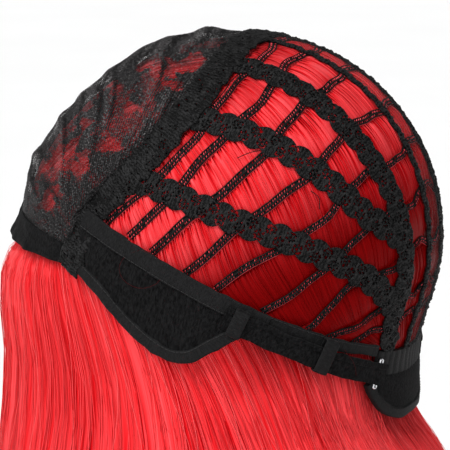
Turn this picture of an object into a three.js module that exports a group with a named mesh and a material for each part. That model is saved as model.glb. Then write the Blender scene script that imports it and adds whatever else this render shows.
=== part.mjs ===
import * as THREE from "three";

// Cosplay wig turned inside out: a cap of lace and velvet outside, red hair inside it and below
// Sizes are in millimetres, the face is toward -Y, the wearer's left is +X and up is +Z

// Head form that the cap follows, from the middle of the head
const HEAD_HALF_WIDTH = 78;
const HEAD_FRONT = 98.5;
const HEAD_BACK = 93;
const HEAD_TOP = 91;
const HEAD_POWER = 2.12;
const FRONT_SLOPE_SINK = 0.05;
const SIDE_DROP = 160;
const NECK_SHARE = 0.24;
const NECK_DEPTH = 55;

// Rim of the cap, a sloping line in the side view
const RIM_HEIGHT = -3;
const RIM_SLOPE = -0.49;
const RIM_FIRST_Y = -42;
const RIM_LAST_Y = 74;

// Rows of the back panel, from the crown seam at 0 to the nape at 1
const CREST_FIRST_ANGLE = 97;
const CREST_LAST_ANGLE = 203;
const ROW_BEND_PLACE = 0.6;
const ROW_BOW = 14;

// Heights of the layers over the head form
const GAP = 0.4;
const LACE_GAP = 0.8;
const WEFT_LEVEL = { inner: 0, outer: 1.1 };
const LACE_LEVEL = { inner: 0.4, outer: 1.6 };
const SEAM_LEVEL = { inner: 0.4, outer: 2.4 };
const FRONT_BAND_LEVEL = { inner: 1, outer: 3 };
const BAND_LEVEL = { inner: 1.7, outer: 2.9 };
const TAPE_LEVEL = { inner: 1.6, outer: 2.9 };
const VELVET_LEVEL = { inner: 0.4, outer: 2.9 };
const BINDING_LEVEL = { inner: 0.2, outer: 3.1 };
const ELASTIC_LEVEL = { inner: 0.4, outer: 2.2 };
const STRAP_LEVEL = { inner: 4.6, outer: 5.8 };

// Front band and front lace
const FRONT_BAND_REACH = 57;
const FRONT_BAND_WIDTH = 13;
const FRONT_BAND_TEMPLE_WIDTH = 9;
const FRONT_BAND_HEIGHT = 6.5;
const FRONT_BAND_TEMPLE_HEIGHT = -1;
const FRONT_BAND_FLARE = 5.5;

// Crown seam, wefts and lace strips
const SEAM_WIDTH = 14;
const SEAM_END = 0.972;
const WEFT_WIDTH = 2.8;
const WEFT_END = 0.994;
const WEFT_ROWS = [0.07, 0.15, 0.26, 0.39, 0.51, 0.63, 0.755, 0.87, 0.945];
const WEFT_SWING = 0.052;
const WEFT_SWING_RISE = [0.5, 0.62];
const WEFT_SWING_FALL = [0.66, 1];
const WEFT_SWING_FIRST = 0.72;
const BAND_WIDTH = 10.5;
const BAND_FIRST_ROW = 0.054;
const SPINE_WIDTH = 24;
const SPINE_LAST_ROW = 1.04;
const BAND_MITRE = 9;
const UPPER_BAND = [
  { row: 0.066, across: 0.36 },
  { row: 0.4, across: 0.372 },
  { row: 0.7, across: 0.385 },
  { row: 0.85, across: 0.48 },
  { row: 0.97, across: 0.67 },
  { row: 1.005, across: 0.71 },
];
const MIDDLE_BAND = [
  { row: 0.066, across: 0.64 },
  { row: 0.28, across: 0.605 },
  { row: 0.5, across: 0.565 },
  { row: 0.6, across: 0.525 },
];
const LOWER_BAND = [
  { row: 0.075, across: 0.866 },
  { row: 0.34, across: 0.838 },
  { row: 0.6, across: 0.752 },
  { row: 0.76, across: 0.652 },
  { row: 0.8, across: 0.632 },
];

// Rim tape, ear tabs and their bindings
const TAPE_WIDTH = 5;
const TAPE_LAST_Y = 76;
const BINDING_WIDTH = 4;
const EAR_TAB_TOP_FRONT = { y: -43, z: 14 };
const EAR_TAB_TOP_BACK = { y: 31, z: -21.6 };
const EAR_TAB_EDGE = [
  { along: 0, y: -48.5, z: -4 },
  { along: 0.2, y: -35, z: -15 },
  { along: 0.4, y: -21, z: -28.5 },
  { along: 0.6, y: -5.5, z: -39 },
  { along: 0.75, y: 6, z: -40.5 },
  { along: 0.88, y: 18, z: -34 },
  { along: 1, y: 30, z: -27.5 },
];

// Straps, keepers and hooks
const STRAP_WIDTH = 10;
const STRAP_DROP = 6.5;
const STRAP_SAG = 4.5;
const STRAP_FIRST_Y = 22;
const STRAP_LAST_Y = 75;
const KEEPER_LENGTH = 6;
const KEEPER_WALL = 1;
const KEEPER_ROOM = 0.3;
const KEEPER_FRONT_Y = 28;
const KEEPER_BACK_Y = 58.5;
const HOOK_WIRE = 0.5;
const HOOK_HALF_LENGTH = 1.2;
const HOOK_HALF_HEIGHT = 6.5;
const HOOK_CORNER = 0.9;
const HOOK_LEVEL = 3.8;
const HOOK_Y = 75.2;

// Nape elastic and nape tab
const ELASTIC_WIDTH = 12;
const ELASTIC_HALF_LENGTH = 33;
const ELASTIC_DROP = 6.5;
const NAPE_TAB_HALF_WIDTH = 36;
const NAPE_TAB_BOTTOM = -73.5;
const NAPE_TAB_RISE = 18;

// Fineness of the pieces along their length and across it
const LONG_STEPS = 32;
const RIBBON_STEPS = 24;
const WEFT_STEPS = 22;
const SHORT_STEPS = 16;
const LACE_STEPS = 10;
const SPINE_STEPS = 3;
const TAB_STEPS = 5;
const NAPE_TAB_STEPS = 3;
const CROWN_STEPS = 8;
const UPPER_STEPS = 9;
const FALL_STEPS = 5;
const SECTOR_STEPS = 4;
const CORNER_STEPS = 3;
const WIRE_SIDES = 5;
const SOLVE_STEPS = 12;
const SLOPE_STEP = 0.01;

// Hair behind the cap and below it
const HAIR_CLEARANCE = 0.6;
const HAIR_WALL = 9;
const HAIR_TIP_WALL = 12;
const HAIR_CROWN_ANGLE = 40;
const HAIR_SPLIT_HEIGHT = -76;
const HAIR_TIP_HEIGHT = -300;
const FRONT_SWELL = 14;
const FRONT_SWELL_HEIGHT = -30;
const HAIR_GAP_ANGLE = 0.36;
const HAIR_DOME_SHARE = 5 / UPPER_STEPS;
const HAIR_FORM = [
  { below: 50, side: 74, front: 93.5, back: 81.2 },
  { below: 76, side: 76, front: 94.5, back: 80.4 },
  { below: 100, side: 82, front: 96.5, back: 98 },
  { below: 140, side: 89, front: 97.5, back: 116 },
  { below: 200, side: 93, front: 95.5, back: 125 },
  { below: 300, side: 91, front: 89, back: 124 },
];
const HAIR_SECTORS = [
  "front",
  "front_left",
  "left",
  "back_left",
  "back",
  "back_right",
  "right",
  "front_right",
];
const SEAT_HEIGHT = HEAD_TOP - HAIR_CLEARANCE - HAIR_WALL;

const velvet = new THREE.MeshStandardMaterial({ color: 0x161616, roughness: 0.9, metalness: 0 });
const lace = new THREE.MeshStandardMaterial({ color: 0x262627, roughness: 0.8, metalness: 0 });
const sheerLace = new THREE.MeshStandardMaterial({ color: 0x3a3334, roughness: 0.8, metalness: 0 });
const tape = new THREE.MeshStandardMaterial({ color: 0x2d2d2e, roughness: 0.7, metalness: 0 });
const weftThread = new THREE.MeshStandardMaterial({ color: 0x5a0c10, roughness: 0.8, metalness: 0 });
const hair = new THREE.MeshStandardMaterial({ color: 0xd8202a, roughness: 0.5, metalness: 0 });
const steel = new THREE.MeshStandardMaterial({ color: 0xb9bcc0, roughness: 0.3, metalness: 1 });

const wig = new THREE.Group();
wig.name = "cosplay_wig";

// Head form, which narrows below its middle and toward the nape
function share(value, size) {
  return Math.abs(value / size) ** HEAD_POWER;
}

function root(value) {
  return Math.max(value, 0) ** (1 / HEAD_POWER);
}

function acrossShare(x) {
  return share(x, HEAD_HALF_WIDTH);
}

function alongShare(y) {
  return share(y, y < 0 ? HEAD_FRONT : HEAD_BACK);
}

function sideShare(z) {
  return share(z, z < 0 ? SIDE_DROP : HEAD_TOP);
}

function napeShare(z) {
  const turn = Math.min(-z / NECK_DEPTH, 1) * Math.PI / 2;
  return z < 0 ? NECK_SHARE * Math.sin(turn) ** 2 : sideShare(z);
}

function formValue(point) {
  const across = acrossShare(point.x);
  const along = alongShare(point.y);
  const backward = point.y > 0 ? along / (across + along) : 0;
  const side = sideShare(point.z);
  return across + along + side + (napeShare(point.z) - side) * backward;
}

function frontSlopeSink(point) {
  const forward = Math.max(-point.y / HEAD_FRONT, 0);
  const up = Math.max(point.z / HEAD_TOP, 0);
  return FRONT_SLOPE_SINK * (2 * forward * up) ** 3;
}

function seat(point) {
  if (point.z > 0) {
    const on = point.clone().divideScalar(root(formValue(point)));
    return on.multiplyScalar(1 - frontSlopeSink(on));
  }
  const across = acrossShare(point.x);
  const along = alongShare(point.y);
  const room = 1 - formValue(point) + across + along;
  const scale = root(room / (across + along));
  return new THREE.Vector3(point.x * scale, point.y * scale, point.z);
}

function formNormal(point) {
  const normal = new THREE.Vector3();
  for (const axis of ["x", "y", "z"]) {
    const ahead = point.clone();
    const behind = point.clone();
    ahead[axis] += SLOPE_STEP;
    behind[axis] -= SLOPE_STEP;
    normal[axis] = formValue(ahead) - formValue(behind);
  }
  return normal.normalize();
}

function lift(point, level) {
  const on = seat(point);
  return on.addScaledVector(formNormal(on), level);
}

function sidePoint(y, z, side) {
  const along = alongShare(y);
  const level = 1 - sideShare(z);
  const nape = y > 0 ? napeShare(z) - sideShare(z) : 0;
  const ring = (level + Math.sqrt(Math.max(level ** 2 - 4 * nape * along, 0))) / 2;
  return new THREE.Vector3(side * HEAD_HALF_WIDTH * root(ring - along), y, z);
}

function backPoint(x, z) {
  const across = acrossShare(x);
  const nape = napeShare(z) - sideShare(z);
  const level = 1 - napeShare(z);
  const ring = (level + Math.sqrt(level ** 2 + 4 * nape * across)) / 2;
  return new THREE.Vector3(x, HEAD_BACK * root(ring - across), z);
}

function crest(angle) {
  const turn = THREE.MathUtils.degToRad(angle);
  let place = seat(new THREE.Vector3(0, -Math.cos(turn), Math.max(Math.sin(turn), 0)));
  for (let step = 0; step < SOLVE_STEPS && angle > 180; step += 1) {
    place = backPoint(0, -place.y * Math.tan(turn));
  }
  return place;
}

// Rim and rows of the back panel
function rimHeight(y) {
  return RIM_HEIGHT + RIM_SLOPE * y;
}

function napeRimHeight(x) {
  let z = rimHeight(HEAD_BACK);
  for (let step = 0; step < SOLVE_STEPS; step += 1) {
    z = rimHeight(backPoint(x, z).y);
  }
  return z;
}

function rowPoint(row, across) {
  const rimY = THREE.MathUtils.lerp(RIM_FIRST_Y, RIM_LAST_Y, row);
  const rimZ = rimHeight(rimY);
  const top = crest(THREE.MathUtils.lerp(CREST_FIRST_ANGLE, CREST_LAST_ANGLE, row));
  const dy = top.y - rimY;
  const dz = top.z - rimZ;
  const bow = ROW_BOW * Math.max(1 - row, 0) / Math.hypot(dy, dz);
  const bendY = rimY + ROW_BEND_PLACE * dy + bow * dz;
  const bendZ = rimZ + ROW_BEND_PLACE * dz - bow * dy;
  const t = 1 - Math.abs(across) ** HEAD_POWER;
  const first = (1 - t) ** 2;
  const middle = 2 * t * (1 - t);
  const last = t ** 2;
  const y = first * rimY + middle * bendY + last * top.y;
  const z = first * rimZ + middle * bendZ + last * top.z;
  return sidePoint(y, z, across < 0 ? -1 : 1);
}

// Toward the rim the lower wefts swing back along it
function weftRow(row, across) {
  const rise = THREE.MathUtils.smoothstep(row, ...WEFT_SWING_RISE);
  const fall = 1 - THREE.MathUtils.smoothstep(row, ...WEFT_SWING_FALL);
  const outward = THREE.MathUtils.smoothstep(Math.abs(across), WEFT_SWING_FIRST, 1);
  return row + WEFT_SWING * rise * fall * outward;
}

// A smooth value of one column of a table, read along another column
function readTable(table, key, column, at) {
  const last = table.length - 1;
  let k = 0;
  while (k < last - 1 && at > table[k + 1][key]) {
    k += 1;
  }
  const slopeAt = (i) => {
    const before = table[Math.max(i - 1, 0)];
    const after = table[Math.min(i + 1, last)];
    return (after[column] - before[column]) / (after[key] - before[key]);
  };
  const step = table[k + 1][key] - table[k][key];
  const t = (at - table[k][key]) / step;
  const rise = table[k + 1][column] - table[k][column];
  const slopeIn = slopeAt(k) * step;
  const slopeOut = slopeAt(k + 1) * step;
  const bend = 3 * rise - 2 * slopeIn - slopeOut;
  const turn = slopeIn + slopeOut - 2 * rise;
  return table[k][column] + t * (slopeIn + t * (bend + t * turn));
}

// Closed solids
function signedVolume(points, faces) {
  let total = 0;
  const cross = new THREE.Vector3();
  for (const [a, b, c] of faces) {
    total += points[a].dot(cross.crossVectors(points[b], points[c]));
  }
  return total;
}

function addSolid(name, points, faces, material) {
  const outward = signedVolume(points, faces) > 0;
  const index = faces.flatMap(([a, b, c]) => (outward ? [a, b, c] : [a, c, b]));
  const places = points.flatMap((p) => [p.x, p.y, p.z - SEAT_HEIGHT]);
  const geometry = new THREE.BufferGeometry();
  geometry.setAttribute("position", new THREE.Float32BufferAttribute(places, 3));
  geometry.setIndex(index);
  geometry.computeVertexNormals();
  const mesh = new THREE.Mesh(geometry, material);
  mesh.name = name;
  wig.add(mesh);
}

function addWall(name, outerPoint, innerPoint, rows, columns, material) {
  const points = [];
  const faces = [];
  for (const point of [outerPoint, innerPoint]) {
    for (let i = 0; i <= rows; i += 1) {
      for (let j = 0; j <= columns; j += 1) {
        points.push(point(i / rows, j / columns));
      }
    }
  }
  const layer = (rows + 1) * (columns + 1);
  const at = (i, j) => i * (columns + 1) + j;
  const quad = (a, b, c, d) => {
    faces.push([a, b, c], [a, c, d]);
  };
  for (let i = 0; i < rows; i += 1) {
    for (let j = 0; j < columns; j += 1) {
      const corners = [at(i, j), at(i + 1, j), at(i + 1, j + 1), at(i, j + 1)];
      quad(...corners);
      quad(...corners.map((k) => k + layer).reverse());
    }
  }
  const border = [];
  for (let j = 0; j < columns; j += 1) {
    border.push(at(0, j));
  }
  for (let i = 0; i < rows; i += 1) {
    border.push(at(i, columns));
  }
  for (let j = columns; j > 0; j -= 1) {
    border.push(at(rows, j));
  }
  for (let i = rows; i > 0; i -= 1) {
    border.push(at(i, 0));
  }
  border.forEach((a, k) => {
    const b = border[(k + 1) % border.length];
    quad(a, b, b + layer, a + layer);
  });
  addSolid(name, points, faces, material);
}

// A piece of cloth lying on the head form
function addCloth(name, surface, level, rows, columns, material) {
  const outerPoint = (u, v) => lift(surface(u, v), level.outer);
  const innerPoint = (u, v) => lift(surface(u, v), level.inner);
  addWall(name, outerPoint, innerPoint, rows, columns, material);
}

function frameOn(path, u) {
  const step = 1e-4;
  const place = seat(path(u));
  const ahead = path(u + step).sub(path(u - step));
  const normal = formNormal(place);
  const side = normal.clone().cross(ahead).normalize();
  const forward = side.clone().cross(normal);
  return { place, forward, side, normal };
}

function beside(path, u, distance) {
  const frame = frameOn(path, u);
  return frame.place.addScaledVector(frame.side, distance);
}

function addRibbon(name, path, width, level, steps, columns, material) {
  const surface = (u, v) => beside(path, u, width * (v - 0.5));
  addCloth(name, surface, level, steps, columns, material);
}

// Front band, with a lower edge that stands out a little
function frontBandPath(u) {
  const along = 2 * u - 1;
  const turn = THREE.MathUtils.degToRad(FRONT_BAND_REACH * along);
  const drop = FRONT_BAND_TEMPLE_HEIGHT - FRONT_BAND_HEIGHT;
  const z = FRONT_BAND_HEIGHT + drop * along ** 2;
  return seat(new THREE.Vector3(HEAD_HALF_WIDTH * Math.sin(turn), -HEAD_FRONT * Math.cos(turn), z));
}

function frontBandWidth(u) {
  return THREE.MathUtils.lerp(FRONT_BAND_WIDTH, FRONT_BAND_TEMPLE_WIDTH, (2 * u - 1) ** 2);
}

function frontBandPoint(u, v, level) {
  const flare = FRONT_BAND_FLARE * (1 - v) ** 2 * (1 - (2 * u - 1) ** 2);
  return lift(beside(frontBandPath, u, frontBandWidth(u) * (v - 0.5)), level + flare);
}

addWall(
  "front_band",
  (u, v) => frontBandPoint(u, v, FRONT_BAND_LEVEL.outer),
  (u, v) => frontBandPoint(u, v, FRONT_BAND_LEVEL.inner),
  RIBBON_STEPS,
  2,
  velvet,
);

// Front lace between the front band and the crown seam
function seamPath(u) {
  return rowPoint(0, SEAM_END * (2 * u - 1));
}

function frontLacePoint(u, v) {
  const front = beside(frontBandPath, u, frontBandWidth(u) / 2 + LACE_GAP);
  const back = beside(seamPath, u, -SEAM_WIDTH / 2 - LACE_GAP);
  return front.lerp(back, v);
}

addCloth("front_lace", frontLacePoint, LACE_LEVEL, SHORT_STEPS, LACE_STEPS, sheerLace);
addRibbon("crown_seam", seamPath, SEAM_WIDTH, SEAM_LEVEL, LONG_STEPS, 2, lace);

// Wefts
WEFT_ROWS.forEach((row, k) => {
  const path = (u) => {
    const across = WEFT_END * (2 * u - 1);
    return rowPoint(weftRow(row, across), across);
  };
  addRibbon(`weft_${k + 1}`, path, WEFT_WIDTH, WEFT_LEVEL, WEFT_STEPS, 1, weftThread);
});

// Lace strips, the middle and lower ones cut slantwise where they meet the upper one
function spinePath(u) {
  return rowPoint(THREE.MathUtils.lerp(BAND_FIRST_ROW, SPINE_LAST_ROW, u), 0);
}

function addBand(name, table, side, mitre) {
  const first = table[0].row;
  const last = table[table.length - 1].row;
  const path = (u) => {
    const row = THREE.MathUtils.lerp(first, last, u);
    return rowPoint(row, side * readTable(table, "row", "across", row));
  };
  const reach = frameOn(path, 0).place.distanceTo(frameOn(path, 1).place);
  const surface = (u, v) => {
    const slant = mitre * side * (v - 0.5) / reach;
    return beside(path, u * (1 + slant), BAND_WIDTH * (v - 0.5));
  };
  addCloth(name, surface, BAND_LEVEL, WEFT_STEPS, 1, lace);
}

addRibbon("spine_band", spinePath, SPINE_WIDTH, BAND_LEVEL, SHORT_STEPS, SPINE_STEPS, lace);
for (const [label, side] of [["left", 1], ["right", -1]]) {
  addBand(`lace_band_upper_${label}`, UPPER_BAND, side, 0);
  addBand(`lace_band_middle_${label}`, MIDDLE_BAND, side, BAND_MITRE);
  addBand(`lace_band_lower_${label}`, LOWER_BAND, side, BAND_MITRE);
}

// Rim tape, ear tab and binding on one side
function addSideRim(label, side) {
  const tapePath = (u) => {
    const y = THREE.MathUtils.lerp(RIM_FIRST_Y, TAPE_LAST_Y, u);
    return sidePoint(y, rimHeight(y), side);
  };
  addRibbon(`rim_tape_${label}`, tapePath, TAPE_WIDTH, TAPE_LEVEL, RIBBON_STEPS, 1, tape);

  const edgePath = (u) => {
    const y = readTable(EAR_TAB_EDGE, "along", "y", u);
    const z = readTable(EAR_TAB_EDGE, "along", "z", u);
    return sidePoint(y, z, side);
  };
  addRibbon(`ear_tab_binding_${label}`, edgePath, BINDING_WIDTH, BINDING_LEVEL, RIBBON_STEPS, 1, tape);

  const panel = (u, v) => {
    const topY = THREE.MathUtils.lerp(EAR_TAB_TOP_FRONT.y, EAR_TAB_TOP_BACK.y, u);
    const topZ = THREE.MathUtils.lerp(EAR_TAB_TOP_FRONT.z, EAR_TAB_TOP_BACK.z, u);
    const low = beside(edgePath, u, side * (BINDING_WIDTH / 2 + GAP));
    const y = THREE.MathUtils.lerp(topY, low.y, v);
    const z = THREE.MathUtils.lerp(topZ, low.z, v);
    return sidePoint(y, z, side);
  };
  addCloth(`ear_tab_${label}`, panel, VELVET_LEVEL, SHORT_STEPS, TAB_STEPS, velvet);
}

addSideRim("left", 1);
addSideRim("right", -1);

// Strap, keepers and hook on one side
function addKeeper(name, strapPath, centre, reach) {
  const middle = (STRAP_LEVEL.inner + STRAP_LEVEL.outer) / 2;
  const halfWidth = STRAP_WIDTH / 2 + KEEPER_ROOM;
  const halfDepth = (STRAP_LEVEL.outer - STRAP_LEVEL.inner) / 2 + KEEPER_ROOM;
  const corner = [[1, 1], [0, 1], [-1, 1], [-1, -1], [0, -1], [1, -1]];
  const points = [];
  const faces = [];
  for (const end of [-0.5, 0.5]) {
    const frame = frameOn(strapPath, centre + end * KEEPER_LENGTH / reach);
    for (const wall of [KEEPER_WALL, 0]) {
      for (const [across, up] of corner) {
        const point = frame.place.clone();
        point.addScaledVector(frame.side, across * (halfWidth + wall));
        point.addScaledVector(frame.normal, middle + up * (halfDepth + wall));
        points.push(point);
      }
    }
  }
  const count = corner.length;
  const quad = (a, b, c, d) => {
    faces.push([a, b, c], [a, c, d]);
  };
  for (let k = 0; k < count; k += 1) {
    const next = (k + 1) % count;
    const ring = (layer, step) => layer * count + step;
    quad(ring(0, k), ring(0, next), ring(2, next), ring(2, k));
    quad(ring(1, next), ring(1, k), ring(3, k), ring(3, next));
    quad(ring(0, next), ring(0, k), ring(1, k), ring(1, next));
    quad(ring(2, k), ring(2, next), ring(3, next), ring(3, k));
  }
  addSolid(name, points, faces, tape);
}

function hookOutline() {
  const corners = [[1, 1], [-1, 1], [-1, -1], [1, -1]];
  const places = [];
  corners.forEach(([along, up], k) => {
    for (let step = 0; step <= CORNER_STEPS; step += 1) {
      const turn = (k + step / CORNER_STEPS) * Math.PI / 2;
      const x = along * (HOOK_HALF_LENGTH - HOOK_CORNER) + HOOK_CORNER * Math.cos(turn);
      const y = up * (HOOK_HALF_HEIGHT - HOOK_CORNER) + HOOK_CORNER * Math.sin(turn);
      places.push({ x, y, turn });
    }
  });
  return places;
}

function addHook(name, strapPath, centre) {
  const frame = frameOn(strapPath, centre);
  const outline = hookOutline();
  const points = [];
  const faces = [];
  for (const { x, y, turn } of outline) {
    for (let k = 0; k < WIRE_SIDES; k += 1) {
      const spin = 2 * Math.PI * k / WIRE_SIDES;
      const out = HOOK_WIRE * Math.cos(spin);
      const point = frame.place.clone();
      point.addScaledVector(frame.forward, x + out * Math.cos(turn));
      point.addScaledVector(frame.side, y + out * Math.sin(turn));
      point.addScaledVector(frame.normal, HOOK_LEVEL + HOOK_WIRE * Math.sin(spin));
      points.push(point);
    }
  }
  for (let i = 0; i < outline.length; i += 1) {
    const next = (i + 1) % outline.length;
    for (let k = 0; k < WIRE_SIDES; k += 1) {
      const turn = (k + 1) % WIRE_SIDES;
      const here = i * WIRE_SIDES;
      const there = next * WIRE_SIDES;
      faces.push([here + k, there + k, there + turn], [here + k, there + turn, here + turn]);
    }
  }
  addSolid(name, points, faces, steel);
}

function addStrap(label, side) {
  const span = STRAP_LAST_Y - STRAP_FIRST_Y;
  const path = (u) => {
    const y = STRAP_FIRST_Y + span * u;
    return sidePoint(y, rimHeight(y) - STRAP_DROP - STRAP_SAG * u ** 3, side);
  };
  const reach = path(0).distanceTo(path(1));
  addRibbon(`strap_${label}`, path, STRAP_WIDTH, STRAP_LEVEL, SHORT_STEPS, 1, velvet);
  addKeeper(`strap_keeper_front_${label}`, path, (KEEPER_FRONT_Y - STRAP_FIRST_Y) / span, reach);
  addKeeper(`strap_keeper_back_${label}`, path, (KEEPER_BACK_Y - STRAP_FIRST_Y) / span, reach);
  addHook(`strap_hook_${label}`, path, (HOOK_Y - STRAP_FIRST_Y) / span);
}

addStrap("left", 1);
addStrap("right", -1);

// Nape elastic and nape tab
function elasticPath(u) {
  const x = ELASTIC_HALF_LENGTH * (1 - 2 * u);
  return backPoint(x, napeRimHeight(x) - ELASTIC_DROP);
}

function napeEdgePath(u) {
  const x = NAPE_TAB_HALF_WIDTH * (1 - 2 * u);
  return backPoint(x, NAPE_TAB_BOTTOM + NAPE_TAB_RISE * (1 - 2 * u) ** 4);
}

function napeTabPoint(u, v) {
  const low = beside(napeEdgePath, u, BINDING_WIDTH / 2 + GAP);
  const drop = ELASTIC_DROP + ELASTIC_WIDTH / 2 + GAP;
  const high = napeRimHeight(low.x) - drop;
  return backPoint(low.x, THREE.MathUtils.lerp(high, low.z, v));
}

addRibbon("nape_elastic", elasticPath, ELASTIC_WIDTH, ELASTIC_LEVEL, SHORT_STEPS, 1, tape);
addRibbon("nape_tab_binding", napeEdgePath, BINDING_WIDTH, BINDING_LEVEL, RIBBON_STEPS, 1, tape);
addCloth("nape_tab", napeTabPoint, VELVET_LEVEL, SHORT_STEPS, NAPE_TAB_STEPS, velvet);

// Hair against the cap and hair that hangs below it
function hairReach(z) {
  const below = -z;
  if (below < HAIR_FORM[0].below) {
    const ring = root(1 - sideShare(z));
    return {
      side: HEAD_HALF_WIDTH * ring - HAIR_CLEARANCE,
      front: HEAD_FRONT * ring - HAIR_CLEARANCE,
      back: HEAD_BACK * root(1 - napeShare(z)) - HAIR_CLEARANCE,
    };
  }
  const read = (column) => readTable(HAIR_FORM, "below", column, below);
  return { side: read("side"), front: read("front"), back: read("back") };
}

function frontSwell(z, turn) {
  const grown = 1 - THREE.MathUtils.smoothstep(z, FRONT_SWELL_HEIGHT, 0);
  return FRONT_SWELL * grown * Math.max(Math.cos(turn), 0) ** 4;
}

function hangingPoint(turn, z, depth) {
  const reach = hairReach(z);
  const along = Math.cos(turn) > 0 ? reach.front : reach.back;
  const edge = 1 / root(share(Math.sin(turn), reach.side) + share(Math.cos(turn), along));
  const radius = edge + frontSwell(z, turn) - depth;
  return new THREE.Vector3(radius * Math.sin(turn), -radius * Math.cos(turn), z);
}

function domePoint(turn, tilt, depth) {
  const spoke = new THREE.Vector3(Math.sin(turn), -Math.cos(turn), 0);
  const up = new THREE.Vector3(0, 0, Math.cos(tilt));
  const place = seat(up.addScaledVector(spoke, Math.sin(tilt)));
  const normal = formNormal(place);
  const out = new THREE.Vector3(0, 0, normal.z).addScaledVector(spoke, normal.dot(spoke));
  return place.addScaledVector(out.normalize(), -HAIR_CLEARANCE - depth);
}

function crownPoint(u, v, depth) {
  const a = 2 * u - 1;
  const b = 2 * v - 1;
  const x = a * Math.sqrt(1 - b * b / 2);
  const y = b * Math.sqrt(1 - a * a / 2);
  const tilt = Math.hypot(x, y) * THREE.MathUtils.degToRad(HAIR_CROWN_ANGLE);
  return domePoint(Math.atan2(x, -y), tilt, depth);
}

function upperPoint(turn, along, depth) {
  if (along < HAIR_DOME_SHARE) {
    const first = THREE.MathUtils.degToRad(HAIR_CROWN_ANGLE + HAIR_GAP_ANGLE);
    const tilt = THREE.MathUtils.lerp(first, Math.PI / 2, along / HAIR_DOME_SHARE);
    return domePoint(turn, tilt, depth);
  }
  const down = (along - HAIR_DOME_SHARE) / (1 - HAIR_DOME_SHARE);
  return hangingPoint(turn, down * (HAIR_SPLIT_HEIGHT + GAP), depth);
}

function fallPoint(turn, along, outside) {
  const z = THREE.MathUtils.lerp(HAIR_SPLIT_HEIGHT, HAIR_TIP_HEIGHT, along);
  const wall = THREE.MathUtils.lerp(HAIR_WALL, HAIR_TIP_WALL, along);
  return hangingPoint(turn, z, outside ? 0 : wall);
}

addWall(
  "hair_crown",
  (u, v) => crownPoint(u, v, 0),
  (u, v) => crownPoint(u, v, HAIR_WALL),
  CROWN_STEPS,
  CROWN_STEPS,
  hair,
);
HAIR_SECTORS.forEach((label, k) => {
  const sector = 360 / HAIR_SECTORS.length;
  const half = sector / 2 - HAIR_GAP_ANGLE / 2;
  const turnAt = (v) => THREE.MathUtils.degToRad(sector * k + half * (2 * v - 1));
  addWall(
    `hair_upper_${label}`,
    (u, v) => upperPoint(turnAt(v), u, 0),
    (u, v) => upperPoint(turnAt(v), u, HAIR_WALL),
    UPPER_STEPS,
    SECTOR_STEPS,
    hair,
  );
  addWall(
    `hair_fall_${label}`,
    (u, v) => fallPoint(turnAt(v), u, true),
    (u, v) => fallPoint(turnAt(v), u, false),
    FALL_STEPS,
    SECTOR_STEPS,
    hair,
  );
});

export default wig;
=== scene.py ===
import math

import bpy
import numpy as np
from mathutils import Matrix, Vector


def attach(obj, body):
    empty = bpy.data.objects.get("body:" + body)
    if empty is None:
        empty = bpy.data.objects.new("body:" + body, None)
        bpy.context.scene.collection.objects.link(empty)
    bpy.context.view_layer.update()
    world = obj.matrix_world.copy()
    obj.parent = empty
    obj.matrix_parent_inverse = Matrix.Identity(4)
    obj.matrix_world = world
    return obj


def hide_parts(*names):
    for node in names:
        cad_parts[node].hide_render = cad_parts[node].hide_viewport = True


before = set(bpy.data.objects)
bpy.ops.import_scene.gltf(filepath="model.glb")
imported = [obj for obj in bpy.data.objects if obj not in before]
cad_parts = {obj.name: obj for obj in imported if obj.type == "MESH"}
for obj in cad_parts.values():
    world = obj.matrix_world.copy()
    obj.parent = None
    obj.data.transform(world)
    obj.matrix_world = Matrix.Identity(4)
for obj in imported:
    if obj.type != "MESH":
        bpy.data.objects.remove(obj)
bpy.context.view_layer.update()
rng = np.random.default_rng(20)

# Sizes are in millimetres from the middle of the head, as in the CAD part
# A pair read by ease() holds where a change starts and how far it runs
MM = 0.001
HEAD_HALF_WIDTH = 78
HEAD_FRONT = 98.5
HEAD_BACK = 93
HEAD_TOP = 91
HEAD_POWER = 2.12
FRONT_SLOPE_SINK = 0.05
SIDE_DROP = 160
NECK_SHARE = 0.24
NECK_DEPTH = 55
SEAT_HEIGHT = 81.4
SOLVE_STEPS = 12
SLOPE_STEP = 0.01
PATH_STEP = 1e-4
PATH_SAMPLES = 400
TINY = 1e-12
PLAIN_TONE = 0.5
STREAK_SPREAD = 500
SHARP_ANGLE = 50
SIDES = (("left", 1), ("right", -1))

# Rim and rows of the back panel
RIM_HEIGHT = -3
RIM_SLOPE = -0.49
RIM_FIRST_Y = -42
RIM_LAST_Y = 74
CREST_FIRST_ANGLE = 97
CREST_LAST_ANGLE = 203
ROW_BEND_PLACE = 0.6
ROW_BOW = 14

# Wefts
WEFT_ROWS = (0.07, 0.15, 0.26, 0.39, 0.51, 0.63, 0.755, 0.87, 0.945)
WEFT_END = 0.994
WEFT_SWING = 0.052
WEFT_SWING_RISE = (0.5, 0.12)
WEFT_SWING_FALL = (0.66, 0.34)
WEFT_SWING_OUTWARD = (0.72, 0.28)
WEFT_LOW = (0.3, 0.3)
WEFT_LOW_WIDTH = 0.76
WEFT_SWAY = 0.009
WEFT_LOW_SWAY = 0.005
WEFT_SWAY_TURNS = 13
WEFT_RIPPLE = 0.003
WEFT_RIPPLE_TURNS = 37
WEFT_STEP = 1.6
WEFT_BASE_HALF_WIDTH = 1.7
WEFT_BASE_LEVEL = (-0.15, 0.45)
WEFT_BASE_TONE = 0.2
WEFT_THREAD_LEVEL = 0.62
WEFT_CORDS = ((-1.6, 0.6), (0.15, 1.05), (1.55, 0.65))
WEFT_CORD_WANDER = 0.06
WEFT_CORD_LIFT = 0.05
WEFT_DOTS = ((-0.75, 0.8, 0.5), (0.9, 0.65, 0.42))
WEFT_DOT_FIRST = 0.6
WEFT_DOT_PITCH = 1.25
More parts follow.
